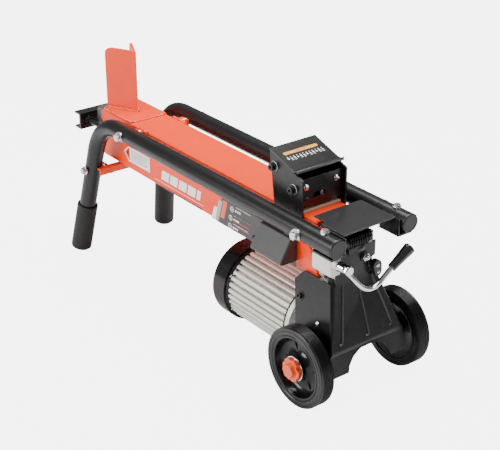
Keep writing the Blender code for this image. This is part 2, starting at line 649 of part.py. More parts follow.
# ---------------------------------------------------------------- the sliding set
face_side = [(-170, 413), (-162, 413), (-148, 321), (-156, 321)]
face = keep(slab(face_side, "XZ", -PLATE_IN + GAP, PLATE_IN - GAP), "pusher_face_plate",
            "black_paint")
plate_side = [(-170.5, 416.8), (-79.5, 387.5), (-79, 278.5), (-150, 278.5), (-157, 320),
              (-169, 400)]
for side, where in ((-1, "near"), (1, "far")):
    a, b = sorted((side * PLATE_IN, side * PLATE_OUT))
    plate = keep(slab(plate_side, "XZ", a, b), "pusher_side_plate_" + where, "black_paint")
    a, b = sorted((side * (PLATE_OUT - 1), side * 64.5))
    fuse(plate, block(-114, -102, a, b, 278.5, 292))
    cut(plate, rod("X", -120, -95, (side * TIE_Y, 284), TIE_R + GAP, sides=20))
    for i, (x, z) in enumerate(((-157.8, 390.1), (-103.2, 363.9))):
        a, b = sorted((side * (PLATE_IN - 4), side * (PLATE_OUT + 4)))
        cut(plate, rod("Y", a, b, (x, z), 4 + GAP, sides=16))
        a, b = sorted((side * (PLATE_OUT + GAP), side * (PLATE_OUT + 2.2)))
        bolt = keep(rod("Y", a, b, (x, z), 9.5, sides=24),
                    "pusher_bolt_" + ("front" if i == 0 else "rear") + "_" + where, "zinc_steel")
        a, b = sorted((side * (PLATE_OUT + 2), side * (PLATE_OUT + 10)))
        socket = rod("Y", a, b, (x, z), 6.5, sides=20)
        a, b = sorted((side * (46 if i else PLATE_IN), side * (PLATE_OUT + 2)))
        fuse(bolt, socket, rod("Y", a, b, (x, z), 4, sides=12))
        a, b = sorted((side * 41, side * 47))
        if i:
            fuse(bolt, hexagon("Y", a, b, (x, z), 13))
        a, b = sorted((side * (PLATE_OUT + 6), side * (PLATE_OUT + 12)))
        cut(bolt, hexagon("Y", a, b, (x, z), 6))

    rod_z = 284
    tie = keep(rod("X", -818, -92, (side * TIE_Y, rod_z), TIE_R, sides=20),
               "tie_rod_" + where, "black_paint")
    for a in (-817, -801.7):
        fuse(tie, hexagon("X", a, a + 8.7, (side * TIE_Y, rod_z), 16))

top_side = [(-171.5, 420.7), (-105, 399.2), (-92, 401.4), (-92, 398.4), (-105, 396.2),
            (-171.5, 417.6)]
top = keep(slab(top_side, "XZ", -53.5, 53.5), "pusher_top_plate", "black_paint")
back_points = [(-PLATE_IN + GAP, 384), (PLATE_IN - GAP, 384)]
for i in range(11):
    y = (PLATE_IN - GAP) * (1 - i / 5)
    back_points.append((y, 326.5 + 8 * (y / 48) ** 2))
back = keep(slab(back_points, "YZ", -92, -88), "pusher_back_plate", "black_paint")
cut(back, block(-99, -80, -14, 4, 344, 355),
    rod("X", -99, -80, (-14, 349.5), 5.5, sides=16), rod("X", -99, -80, (4, 349.5), 5.5, sides=16))
pad = keep(block(-146, -85, -44, 44, BEAM_TOP + GAP, 325, 0), "pusher_wear_pad", "nylon")
cut(pad, slab([(-160, 340), (-146.5, 340), (-149, 318), (-160, 318)], "XZ", -50, 50))

web = keep(block(-826, -802, -76, 76, 265, 301, 0), "crosshead", "black_paint")
cut(web, block(-840, -808, -80, 80, 269, 297))
for y in (-TIE_Y, TIE_Y):
    cut(web, rod("X", -820, -790, (y, 284), TIE_R + GAP, sides=20))
cut(web, rod("X", -820, -790, (0, CYL_Z), 9 + GAP, sides=24))

piston = keep(rod("X", -801.7, -96, (0, CYL_Z), ROD_R, sides=32), "piston_rod", "bright_steel")
fuse(piston, rod("X", -125, -97, (0, CYL_Z), CYL_IN - GAP, sides=32, bevel=1),
     rod("X", -817, -800, (0, CYL_Z), 9, sides=24),
     hexagon("X", -817.5, -808.3, (0, CYL_Z), 20))

# ---------------------------------------------------------------- control lever and valve
lever = keep(rod("X", 1, 52, (LEVER_Y, LEVER_Z), 6, sides=20), "control_lever", "bright_steel")
fuse(lever, rod("X", 32, 50, (LEVER_Y, LEVER_Z), 8, sides=20),
     hexagon("X", 49, 59, (LEVER_Y, LEVER_Z), 17),
     rod("X", -9, 1.6, (LEVER_Y, LEVER_Z - 6), 2, sides=12),
     swept([(40, LEVER_Y, LEVER_Z), (46, -55, 262), (54, -46, 248), (58, -34, 233),
            (60, -20, 225), (60, -6, 223), (60, 6, 228), (60, 16, 235), (60, 42, 252)], 5, 0, 14))
pivot(lever, 20, LEVER_Y, LEVER_Z)
slope = Vector((0, 46, 29)).normalized()
a = Vector((60, 36, 248.1))
b = a + slope * 52
handle = keep(bar(a, b, 9.5, 20), "lever_grip", "black_plastic")
cut(handle, bar(a - slope * 5, a + slope * 8, 5 + GAP, 20))
pivot(handle, 20, LEVER_Y, LEVER_Z)

spool = keep(rod("Y", -65, 20, (-5, 258), 6, sides=20), "valve_spool", "bright_steel")
cut(spool, block(-15, 5, LEVER_Y - 2.4, LEVER_Y + 2.4, 260.5, 275))
pivot(spool, -5, -20, 258)

# The bleed screw has a tab-shaped knob: the solid round two discs
BLEED = (40.5, 236)
knob = []
for x in (10, 22):
    for (y, z), r in ((BLEED, 10), ((43, 222), 8)):
        for i in range(12):
            t = math.pi * i / 6
            knob.append((x, y + r * math.cos(t), z + r * math.sin(t)))
bleed = keep(hull(knob), "bleed_screw", "black_plastic")
fuse(bleed, rod("X", -8, 13, BLEED, 5, sides=16))
pivot(bleed, 10, *BLEED)
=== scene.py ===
# %% [markdown]
# # A horizontal log splitter
# The machine is a square orange beam with an upright wedge at one end and a
# sliding pusher at the other. Two bent tubes carry it, and a motor and pump hang
# under the wheel end. The working frame, with every joint, is loaded first, and
# this lesson gives it its finished surfaces: round tubes, ribbed tyres, cooling
# fins, weld beads, decals and paint. Nothing here moves or resizes the frame.

# %% Load the frame
import json
import math

import bmesh
import bpy
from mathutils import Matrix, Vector

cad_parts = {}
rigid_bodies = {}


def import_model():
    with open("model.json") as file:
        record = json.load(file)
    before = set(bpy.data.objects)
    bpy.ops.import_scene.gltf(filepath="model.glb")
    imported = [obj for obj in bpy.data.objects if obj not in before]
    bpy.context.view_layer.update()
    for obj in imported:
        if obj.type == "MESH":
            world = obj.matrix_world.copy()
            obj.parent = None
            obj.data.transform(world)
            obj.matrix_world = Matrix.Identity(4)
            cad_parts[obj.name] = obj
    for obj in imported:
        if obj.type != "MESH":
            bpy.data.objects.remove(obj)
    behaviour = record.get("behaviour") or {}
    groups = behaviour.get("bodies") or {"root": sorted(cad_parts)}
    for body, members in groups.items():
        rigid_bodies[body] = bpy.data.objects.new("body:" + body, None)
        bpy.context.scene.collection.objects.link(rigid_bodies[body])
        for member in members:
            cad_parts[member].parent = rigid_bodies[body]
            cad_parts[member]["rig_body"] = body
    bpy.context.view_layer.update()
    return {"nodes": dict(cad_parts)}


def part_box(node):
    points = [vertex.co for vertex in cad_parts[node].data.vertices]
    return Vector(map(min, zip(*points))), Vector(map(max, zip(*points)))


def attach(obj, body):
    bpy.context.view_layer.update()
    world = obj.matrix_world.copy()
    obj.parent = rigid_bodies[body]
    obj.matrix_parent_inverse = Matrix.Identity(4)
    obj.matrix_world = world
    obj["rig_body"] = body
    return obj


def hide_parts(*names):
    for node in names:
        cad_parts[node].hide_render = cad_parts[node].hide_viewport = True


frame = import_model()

# %% [markdown]
# ## Measuring from the frame
# A place on this machine is easiest to give in millimetres from the wheel axle:
# x along the beam, y across it, z above the ground. The axle's place is read
# from the frame, so the helper below is the only link that a piece needs.

# %% Places
MM = 0.001


def middle(node):
    """The middle of a node's box."""
    low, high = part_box(node)
    return (low + high) / 2


AXLE_X = middle("axle").x


def at(x, y, z):
    """A place in millimetres from the axle, as a point of the frame."""
    return Vector((AXLE_X + x * MM, y * MM, z * MM))


print("axle at x =", round(AXLE_X, 3), "m, and", round(middle("axle").z / MM, 1), "mm up")

# %% [markdown]
# ## Nodes in few words
# The floor, the sky and every finish are node trees. One helper adds a node with
# its settings, and the other links sockets two by two, so a tree reads in the
# order that the values flow.

# %% Node helpers


def node(tree, kind, **settings):
    """A new node with its settings; a key that starts with in_ is a socket's value."""
    made = tree.nodes.new(kind)
    for key, value in settings.items():
        if key.startswith("in_"):
            made.inputs[key[3:].replace("_", " ")].default_value = value
        else:
            setattr(made, key, value)
    return made


def wire(tree, *pairs):
    """Links output sockets to input sockets, two by two."""
    for start, stop in zip(pairs[::2], pairs[1::2]):
        tree.links.new(start, stop)


# %% [markdown]
# ## Camera, floor and light
# The camera stands well back with a long lens, to the right of the labelled
# side, so lines along the beam hardly converge. The floor is one pale sheet. A
# large soft lamp hangs overhead, a second one lights the labelled side, and a
# narrow one behind draws a cool sheen on the black faces that look to the wheels.

# %% Camera
VIEW_TURN = math.radians(52.3687)
VIEW_RISE = math.radians(25.9372)
CAMERA_PLACE = (1.7805, -1.312, 1.25)
CAMERA_LENS = 88.354

back = Vector((math.sin(VIEW_TURN) * math.cos(VIEW_RISE),
               -math.cos(VIEW_TURN) * math.cos(VIEW_RISE), math.sin(VIEW_RISE)))
bpy.ops.object.camera_add(location=CAMERA_PLACE,
                          rotation=back.to_track_quat("Z", "Y").to_euler())
camera = bpy.context.object
camera.data.sensor_fit = "HORIZONTAL"
camera.data.sensor_width = 36.0
camera.data.lens = CAMERA_LENS
bpy.context.scene.camera = camera

# %% Floor
FLOOR_GLOW = 7.0
GLOW_SHARE = 0.8
bpy.ops.mesh.primitive_plane_add(size=40, location=(0, 0, -0.0006))
floor = bpy.context.object
floor.name = "floor"
floor_paint = bpy.data.materials.new("floor_paint")
floor_paint.use_nodes = True
tree = floor_paint.node_tree
matt = tree.nodes["Principled BSDF"]
matt.inputs["Base Color"].default_value = (0.9, 0.9, 0.9, 1)
matt.inputs["Roughness"].default_value = 0.9
matt.inputs["Specular IOR Level"].default_value = 0.1
glow = node(tree, "ShaderNodeEmission", in_Strength=FLOOR_GLOW)
rays = node(tree, "ShaderNodeLightPath")
share = node(tree, "ShaderNodeMath", operation="MULTIPLY")
share.inputs[1].default_value = GLOW_SHARE
mix = node(tree, "ShaderNodeMixShader")
wire(tree, rays.outputs["Is Camera Ray"], share.inputs[0],
     share.outputs[0], mix.inputs["Fac"],
     matt.outputs["BSDF"], mix.inputs[1],
     glow.outputs["Emission"], mix.inputs[2],
     mix.outputs["Shader"], tree.nodes["Material Output"].inputs["Surface"])
floor.data.materials.append(floor_paint)

# %% Light


def softbox(name, place, target, size, power, tint=(1, 1, 1)):
    """A rectangular lamp that looks at a target."""
    aim = (Vector(place) - Vector(target)).to_track_quat("Z", "Y").to_euler()
    bpy.ops.object.light_add(type="AREA", location=place, rotation=aim)
    lamp = bpy.context.object
    lamp.name = name
    lamp.data.shape = "RECTANGLE"
    lamp.data.size = size[0]
    lamp.data.size_y = size[1]
    lamp.data.energy = power
    lamp.data.color = tint
    return lamp


softbox("overhead", (-0.2, 0.4, 2.6), (0, 0, 0.2), (2.2, 1.6), 135)
softbox("label_side", (-0.9, -2.6, 1.3), (-0.1, 0, 0.2), (1.4, 1.2), 86)
softbox("wheel_end", (2.3, 1.3, 1.5), (0.3, 0, 0.2), (0.8, 0.8), 14, (0.9, 0.94, 1.0))

# %% Sky: dim as a light, bright where the camera sees it
WORLD_LIGHT = 0.27
WORLD_SEEN = 5.6
world = bpy.data.worlds.new("studio")
world.use_nodes = True
tree = world.node_tree
air = tree.nodes["Background"]
air.inputs["Color"].default_value = (1, 1, 1, 1)
rays = node(tree, "ShaderNodeLightPath")
level = node(tree, "ShaderNodeMapRange", in_To_Min=WORLD_LIGHT, in_To_Max=WORLD_SEEN)
wire(tree, rays.outputs["Is Camera Ray"], level.inputs["Value"],
     level.outputs["Result"], air.inputs["Strength"])
bpy.context.scene.world = world

# %% [markdown]
# ## Effects that several finishes share
# Powder coat, moulded plastic and cast metal all have a fine uneven skin, a slow
# drift in tone, and paler edges, which are partly wear and partly a painted
# highlight where edges catch the light. Each of those is one node group with
# named sockets. A material then places the group with its own values, so one
# change mends every finish.

# %% An empty group


def group(name, inputs, outputs):
    """A new group of float sockets, with its two end nodes and object coordinates."""
    made = bpy.data.node_groups.new(name, "ShaderNodeTree")
    for label, value in inputs:
        socket = made.interface.new_socket(label, in_out="INPUT", socket_type="NodeSocketFloat")
        socket.default_value = value
    for label in outputs:
        made.interface.new_socket(label, in_out="OUTPUT", socket_type="NodeSocketFloat")
    gin = node(made, "NodeGroupInput")
    gout = node(made, "NodeGroupOutput")
    return made, gin.outputs, gout.inputs, node(made, "ShaderNodeTexCoord").outputs["Object"]


# %% Skin: a fine uneven height, as on powder coat or moulded plastic
skin, gin, gout, where = group("skin", [("Scale", 700.0)], ["Height"])
fine = node(skin, "ShaderNodeTexNoise", in_Detail=2.0, in_Roughness=0.55)
wire(skin, where, fine.inputs["Vector"],
     gin["Scale"], fine.inputs["Scale"],
     fine.outputs["Fac"], gout["Height"])

# %% Drift: slow changes of tone over a hand's width, with a few finer clouds
drift, gin, gout, where = group("drift", [("Scale", 14.0)], ["Cloud", "Smear"])
slow = node(drift, "ShaderNodeTexNoise", in_Detail=3.0, in_Roughness=0.5)
finer = node(drift, "ShaderNodeMath", operation="MULTIPLY")
finer.inputs[1].default_value = 6.0
smear = node(drift, "ShaderNodeTexNoise", in_Detail=4.0, in_Roughness=0.62, in_Distortion=0.8)
wire(drift, where, slow.inputs["Vector"],
     gin["Scale"], slow.inputs["Scale"],
     gin["Scale"], finer.inputs[0],
     where, smear.inputs["Vector"],
     finer.outputs[0], smear.inputs["Scale"],
     slow.outputs["Fac"], gout["Cloud"],
     smear.outputs["Fac"], gout["Smear"])

# %% Edge: a mask along sharp edges for paler wear and a painted highlight, broken up so that it isn't a drawn line
edge, gin, gout, where = group(
    "edge", [("Radius", 0.0012), ("Break Scale", 160.0), ("Amount", 1.0)], ["Mask"])
rounded = node(edge, "ShaderNodeBevel", samples=4)
plain = node(edge, "ShaderNodeNewGeometry")
likeness = node(edge, "ShaderNodeVectorMath", operation="DOT_PRODUCT")
lift = node(edge, "ShaderNodeMapRange", in_From_Min=0.995, in_From_Max=0.86)
edge_breakup = node(edge, "ShaderNodeTexNoise", in_Detail=3.0)
edge_breakup_step = node(edge, "ShaderNodeMapRange", in_From_Min=0.42, in_From_Max=0.62)
both = node(edge, "ShaderNodeMath", operation="MULTIPLY")
scaled = node(edge, "ShaderNodeMath", operation="MULTIPLY", use_clamp=True)
wire(edge, gin["Radius"], rounded.inputs["Radius"],
     rounded.outputs["Normal"], likeness.inputs[0],
     plain.outputs["Normal"], likeness.inputs[1],
     likeness.outputs["Value"], lift.inputs["Value"],
     where, edge_breakup.inputs["Vector"],
     gin["Break Scale"], edge_breakup.inputs["Scale"],
     edge_breakup.outputs["Fac"], edge_breakup_step.inputs["Value"],
     lift.outputs["Result"], both.inputs[0],
     edge_breakup_step.outputs["Result"], both.inputs[1],
     both.outputs[0], scaled.inputs[0],
     gin["Amount"], scaled.inputs[1],
     scaled.outputs[0], gout["Mask"])

# %% Dust: a little more on faces that look up
dust, gin, gout, where = group("dust", [("Scale", 60.0)], ["Mask"])
facing = node(dust, "ShaderNodeNewGeometry")
split = node(dust, "ShaderNodeSeparateXYZ")
upward = node(dust, "ShaderNodeMapRange", in_From_Min=0.2, in_From_Max=1.0)
specks = node(dust, "ShaderNodeTexNoise", in_Detail=6.0, in_Roughness=0.7)
speck_step = node(dust, "ShaderNodeMapRange", in_From_Min=0.4, in_From_Max=0.75)
both = node(dust, "ShaderNodeMath", operation="MULTIPLY")
wire(dust, facing.outputs["Normal"], split.inputs[0],
     split.outputs["Z"], upward.inputs["Value"],
     where, specks.inputs["Vector"],
     gin["Scale"], specks.inputs["Scale"],
     specks.outputs["Fac"], speck_step.inputs["Value"],
     upward.outputs["Result"], both.inputs[0],
     speck_step.outputs["Result"], both.inputs[1],
     both.outputs[0], gout["Mask"])
print("groups:", sorted(g.name for g in bpy.data.node_groups))

# %% [markdown]
# ## One recipe for coated and moulded surfaces
# Paint, plastic and rubber differ in colour, gloss and the size of their skin,
# but are built the same way: a base colour that drifts a little, a paler line on
# the edges that is partly wear and partly a painted highlight, a trace of dust on
# top, and a bump from the skin. The recipe below takes those as values. Gloss and
# metal are set on the shader's own sockets where they are the same all over.

# %% The recipe
DUST = (0.32, 0.29, 0.25, 1.0)


def shade(colour, factor):
    """A colour made lighter or darker, as RGBA."""
    return (*[min(1.0, c * factor) for c in colour], 1.0)


def recipe(name, colour, rough, metal=0.0, spread=0.12, rough_spread=0.08, skin_scale=700.0,
           skin_depth=0.12, skin_size=0.0004, edge_wear_and_highlight=None, edge_wear_and_highlight_amount=0.5, dusty=0.0,
           coat=0.0, coat_rough=0.1, gloss=0.5):
    """A material with drift, paler edges of wear and painted highlight, dust and a fine skin."""
    made = bpy.data.materials.new(name)
    made.use_nodes = True
    tree = made.node_tree
    shader = tree.nodes["Principled BSDF"]
    shader.inputs["Metallic"].default_value = metal
    shader.inputs["Specular IOR Level"].default_value = gloss
    shader.inputs["Coat Weight"].default_value = coat
    shader.inputs["Coat Roughness"].default_value = coat_rough
    tone = node(tree, "ShaderNodeGroup", node_tree=drift)
    base = node(tree, "ShaderNodeMix", data_type="RGBA")
    base.inputs["A"].default_value = shade(colour, 1 - spread)
    base.inputs["B"].default_value = shade(colour, 1 + spread)
    wire(tree, tone.outputs["Cloud"], base.inputs["Factor"])
    last = base.outputs["Result"]
    # Paler edges: partly wear, partly a painted highlight.
    if edge_wear_and_highlight:
        rim = node(tree, "ShaderNodeGroup", node_tree=edge, in_Amount=edge_wear_and_highlight_amount)
        mix = node(tree, "ShaderNodeMix", data_type="RGBA")
        mix.inputs["B"].default_value = (*edge_wear_and_highlight, 1.0)
        wire(tree, rim.outputs["Mask"], mix.inputs["Factor"], last, mix.inputs["A"])
        last = mix.outputs["Result"]
    rough_range = node(tree, "ShaderNodeMapRange", in_To_Min=max(0.02, rough - rough_spread),
                       in_To_Max=min(1.0, rough + rough_spread))
    wire(tree, tone.outputs["Smear"], rough_range.inputs["Value"])
    last_rough = rough_range.outputs["Result"]
    if dusty:
        settled = node(tree, "ShaderNodeGroup", node_tree=dust)
        weight = node(tree, "ShaderNodeMath", operation="MULTIPLY")
        weight.inputs[1].default_value = dusty
        mix = node(tree, "ShaderNodeMix", data_type="RGBA")
        mix.inputs["B"].default_value = DUST
        raised = node(tree, "ShaderNodeMath", operation="ADD", use_clamp=True)
        wire(tree, settled.outputs["Mask"], weight.inputs[0],
             weight.outputs[0], mix.inputs["Factor"], last, mix.inputs["A"],
             last_rough, raised.inputs[0], weight.outputs[0], raised.inputs[1])
        last = mix.outputs["Result"]
        last_rough = raised.outputs[0]
    grain = node(tree, "ShaderNodeGroup", node_tree=skin, in_Scale=skin_scale)
    bump = node(tree, "ShaderNodeBump", in_Strength=skin_depth, in_Distance=skin_size)
    wire(tree, last, shader.inputs["Base Color"], last_rough, shader.inputs["Roughness"],
         grain.outputs["Height"], bump.inputs["Height"],
         bump.outputs["Normal"], shader.inputs["Normal"])
    return made


# %% Coats and plastics
orange_paint = recipe("orange_powder_coat", (0.92, 0.047, 0.001), 0.33, spread=0.06,
                      skin_scale=520, skin_depth=0.2, edge_wear_and_highlight=(0.95, 0.26, 0.1),
                      edge_wear_and_highlight_amount=0.5, dusty=0.01, coat=0.06, coat_rough=0.12, gloss=0.32)
black_paint = recipe("black_powder_coat", (0.0062, 0.0062, 0.0065), 0.3, spread=0.2,
                     skin_scale=620, skin_depth=0.25, edge_wear_and_highlight=(0.15, 0.15, 0.155),
                     edge_wear_and_highlight_amount=0.85, dusty=0.006, coat=0.08, coat_rough=0.2, gloss=0.36)
# The cover plate's black is a lighter copy of the black powder coat: the paler colour is a painted
# sheen.
cover_painted_sheen = recipe("black_cover_painted_sheen", (0.014, 0.014, 0.0145), 0.3, spread=0.2,
                     skin_scale=620, skin_depth=0.25, edge_wear_and_highlight=(0.17, 0.17, 0.175),
                     edge_wear_and_highlight_amount=0.85, dusty=0.008, coat=0.12, coat_rough=0.2, gloss=0.5)
# A lighter copy of the black paint for the bracket ribs and the top plate's lip: its paler colour is
# a painted sheen.
black_satin = recipe("black_satin_rib", (0.03, 0.03, 0.032), 0.24, spread=0.15,
                     skin_scale=620, skin_depth=0.12, edge_wear_and_highlight=(0.2, 0.2, 0.2), edge_wear_and_highlight_amount=0.8,
                     coat=0.3, coat_rough=0.1, gloss=0.6)
black_plastic = recipe("moulded_black", (0.0085, 0.0085, 0.009), 0.38, spread=0.15,
                       skin_scale=1100, skin_depth=0.2, edge_wear_and_highlight=(0.045, 0.045, 0.045),
                       edge_wear_and_highlight_amount=0.4, dusty=0.008)
fan_plastic = recipe("glossy_black_shell", (0.005, 0.005, 0.0053), 0.22, spread=0.15,
                     skin_scale=300, skin_depth=0.06, coat=0.08, coat_rough=0.08, gloss=0.3)
grip_plastic = recipe("polished_black_grip", (0.012, 0.012, 0.0125), 0.2, spread=0.1,
                      skin_scale=260, skin_depth=0.05, coat=0.5, coat_rough=0.07)
foot_rubber = recipe("foot_rubber", (0.009, 0.009, 0.009), 0.6, spread=0.18,
                     skin_scale=900, skin_depth=0.45, edge_wear_and_highlight=(0.05, 0.05, 0.05),
                     edge_wear_and_highlight_amount=0.5, dusty=0.02, gloss=0.35)
tyre_rubber = recipe("tyre_rubber", (0.0055, 0.0055, 0.006), 0.3, spread=0.2,
                     skin_scale=800, skin_depth=0.15, edge_wear_and_highlight=(0.03, 0.03, 0.033),
                     edge_wear_and_highlight_amount=0.4, dusty=0.006, coat=0.08, coat_rough=0.22, gloss=0.42)
grey_plastic = recipe("switch_box_plastic", (0.038, 0.036, 0.035), 0.45, spread=0.1,
                      skin_scale=1300, skin_depth=0.3, edge_wear_and_highlight=(0.11, 0.105, 0.1),
                      edge_wear_and_highlight_amount=0.4, dusty=0.015)
orange_plastic = recipe("hub_cap_plastic", (0.83, 0.085, 0.016), 0.3, spread=0.05,
                        skin_scale=500, skin_depth=0.1, edge_wear_and_highlight=(0.95, 0.3, 0.12),
                        edge_wear_and_highlight_amount=0.4, coat=0.2)
green_plastic = recipe("start_button_green", (0.02, 0.28, 0.05), 0.25, spread=0.05,
                       skin_scale=600, skin_depth=0.08, coat=0.3)
nylon = recipe("wear_pad_nylon", (0.46, 0.34, 0.24), 0.45, spread=0.08, skin_scale=500,
               skin_depth=0.2, dusty=0.05)
print("coats and plastics:", len(bpy.data.materials) - 1)

# %% [markdown]
# ## Bare metals
# The motor housing is cast aluminium: pale, slightly warm and matt. Bolts are
# zinc plated, which is bright but cloudy. The lever is hard chrome. Each uses
# the same recipe with metal on, because casting grain, plating clouds and
# handling smears are the same three effects at other sizes.

# %% Metals
aluminium = recipe("cast_aluminium", (0.70, 0.69, 0.63), 0.42, metal=0.5, spread=0.07,
                   rough_spread=0.1, skin_scale=900, skin_depth=0.35, edge_wear_and_highlight=(0.8, 0.79, 0.75),
                   edge_wear_and_highlight_amount=0.5, dusty=0.04)
zinc = recipe("zinc_plate", (0.72, 0.715, 0.69), 0.26, metal=1.0, spread=0.12,
              rough_spread=0.12, skin_scale=600, skin_depth=0.12, edge_wear_and_highlight=(0.9, 0.9, 0.88),
              edge_wear_and_highlight_amount=0.5)
chrome = recipe("hard_chrome", (0.78, 0.78, 0.79), 0.08, metal=1.0, spread=0.05,
                rough_spread=0.05, skin_scale=180, skin_depth=0.03)
bright_zinc = recipe("bright_zinc_washer", (0.86, 0.86, 0.85), 0.4, metal=0.6, spread=0.08,
                     skin_scale=600, skin_depth=0.1)
turned_steel = recipe("turned_steel", (0.36, 0.355, 0.35), 0.34, metal=1.0, spread=0.15,
                      rough_spread=0.12, skin_scale=1500, skin_depth=0.2)
black_oxide = recipe("black_oxide_steel", (0.022, 0.022, 0.023), 0.34, metal=0.35,
                     spread=0.2, skin_scale=900, skin_depth=0.2, edge_wear_and_highlight=(0.3, 0.3, 0.3),
                     edge_wear_and_highlight_amount=0.5)
print("materials so far:", len(bpy.data.materials))

# %% [markdown]
# ## Working by hand, in code
# Every new piece starts as a primitive at its place, is shaped in edit mode, and
# is finished with modifiers that are applied. These helpers only hold the steps
# that repeat: selecting one object alone, opening it for editing, applying a
# modifier, and handing the finished piece to the body that it moves with.

# %% Modelling helpers


def alone(piece):
    """Selects one object and makes it active."""
    if bpy.context.mode != "OBJECT":
        bpy.ops.object.mode_set(mode="OBJECT")
    bpy.ops.object.select_all(action="DESELECT")
    piece.select_set(True)
    bpy.context.view_layer.objects.active = piece


def open_new(name):
    """Names the new primitive, puts its place in its mesh and opens it."""
    piece = bpy.context.object
    alone(piece)
    piece.name = name
    piece.data.name = name
    bpy.ops.object.transform_apply(location=True, rotation=True, scale=True)
    bpy.ops.object.mode_set(mode="EDIT")
    bpy.ops.mesh.select_all(action="SELECT")
    return piece


def close(piece, smooth=35):
    """Leaves edit mode and smooths all edges gentler than an angle."""
    alone(piece)
    bpy.ops.object.shade_smooth_by_angle(angle=math.radians(smooth))


def modify(piece, kind, **settings):
    """Adds a modifier, sets it and applies it."""
    alone(piece)
    modifier = piece.modifiers.new(kind.lower(), kind)
    for key, value in settings.items():
        setattr(modifier, key, value)
    bpy.ops.object.modifier_apply(modifier=modifier.name)


def joined(first, *others):
    """One object made from several; it keeps the first one's name."""
    alone(first)
    for piece in others:
        piece.select_set(True)
    bpy.ops.object.join()
    return bpy.context.object


def block(name, place, size, bevel, segments=2, rotation=(0, 0, 0), smooth=35):
    """A box of a size in millimetres, with its edges rounded."""
    bpy.ops.mesh.primitive_cube_add(size=1, location=place, rotation=rotation,
                                    scale=Vector(size) * MM)
    piece = open_new(name)
    bpy.ops.mesh.bevel(offset=bevel * MM, segments=segments)
    close(piece, smooth)
    return piece


def hexagon(name, place, across, depth, bevel):
    """A hexagonal nut along the beam's direction, measured across its flats."""
    bpy.ops.mesh.primitive_cylinder_add(vertices=6, radius=across / math.sqrt(3) * MM,
                                        depth=depth * MM, location=place,
                                        rotation=(0, math.pi / 2, 0))
    piece = open_new(name)
    bpy.ops.mesh.bevel(offset=bevel * MM, segments=2)
    close(piece, 30)
    return piece


def hand_over(piece, body, material, slot, *nodes):
    """Gives a finished piece its material and body, and hides the nodes it stands for; the slot is
    not used.
    """
    piece.data.materials.clear()
    piece.data.materials.append(material)
    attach(piece, body)
    if nodes:
        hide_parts(*nodes)
    return piece


def body_of(name):
    """The body that a node rides on."""
    return frame["nodes"][name]["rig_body"]


# %% [markdown]
# ### Turning
# Tyres, hubs, caps, grips and covers are all turned shapes. On a bench they
# come off a lathe: here a single vertex is extruded along the outline and the
# line is spun round the axis. Screw would do the same, but a spin in edit mode
# takes any axis, also the leaning ones of the legs and the lever.

# %% Turned pieces


def turned(name, outline, centre, axis, steps=96, smooth=35):
    """A closed solid turned round an axis from (along, radius) pairs in millimetres."""
    axis = Vector(axis).normalized()
    side = axis.orthogonal().normalized()
    spots = [centre + axis * a * MM + side * r * MM for a, r in outline]
    bpy.ops.mesh.primitive_plane_add(size=MM, location=spots[0])
    piece = open_new(name)
    bpy.ops.mesh.merge(type="CENTER")
    for before, after in zip(spots, spots[1:]):
        bpy.ops.mesh.extrude_region_move(TRANSFORM_OT_translate={"value": after - before})
    bpy.ops.mesh.select_all(action="SELECT")
    bpy.ops.mesh.spin(steps=steps, angle=2 * math.pi, center=centre, axis=axis)
    bpy.ops.mesh.select_all(action="SELECT")
    bpy.ops.mesh.remove_doubles(threshold=2e-6)
    bpy.ops.mesh.normals_make_consistent(inside=False)
    close(piece, smooth)
    return piece


def arc(centre_along, centre_r, radius, start, stop, count):
    """Outline points on an arc; angles in degrees from the axis direction."""
    points = []
    for i in range(count + 1):
        t = math.radians(start + (stop - start) * i / count)
        points.append((centre_along + radius * math.cos(t), centre_r + radius * math.sin(t)))
    return points


# %% [markdown]
# ### Softening
# Sheet, plate and cast pieces already have their right shape in the frame, but
# their edges are knife sharp, and nothing real is. A copy of the frame's mesh is
# merged, its flat faces are cleaned, and a small bevel rounds the edges so that
# they catch a thin highlight. Weighted normals keep the wide faces flat.

# %% Softened pieces


def softened(name, width, material, slot, fold=0.0, on_fold=None):
    """A copy of a frame node with rounded edges, which then stands for it.

    Edges whose two ends lie on a fold get that fold's own, wider radius first.
    """
    source = frame["nodes"][name]
    piece = bpy.data.objects.new(name + "_finish", source.data.copy())
    bpy.context.scene.collection.objects.link(piece)
    alone(piece)
    bpy.ops.object.mode_set(mode="EDIT")
    bpy.ops.mesh.select_all(action="SELECT")
    bpy.ops.mesh.remove_doubles(threshold=5e-6)
    bpy.ops.mesh.customdata_custom_splitnormals_clear()
    bpy.ops.mesh.dissolve_limited(angle_limit=math.radians(0.6))
    if fold:
        mesh_edit = bmesh.from_edit_mesh(piece.data)
        bpy.ops.mesh.select_all(action="DESELECT")
        for line in mesh_edit.edges:
            line.select = all(on_fold(vert.co) for vert in line.verts)
        bpy.ops.mesh.bevel(offset=fold * MM, segments=5)
    bpy.ops.object.mode_set(mode="OBJECT")
    modify(piece, "BEVEL", width=width * MM, segments=2, limit_method="ANGLE",
           angle_limit=math.radians(32), use_clamp_overlap=True)
    close(piece, 40)
    modify(piece, "WEIGHTED_NORMAL", keep_sharp=True)
    return hand_over(piece, body_of(name), material, slot, name)


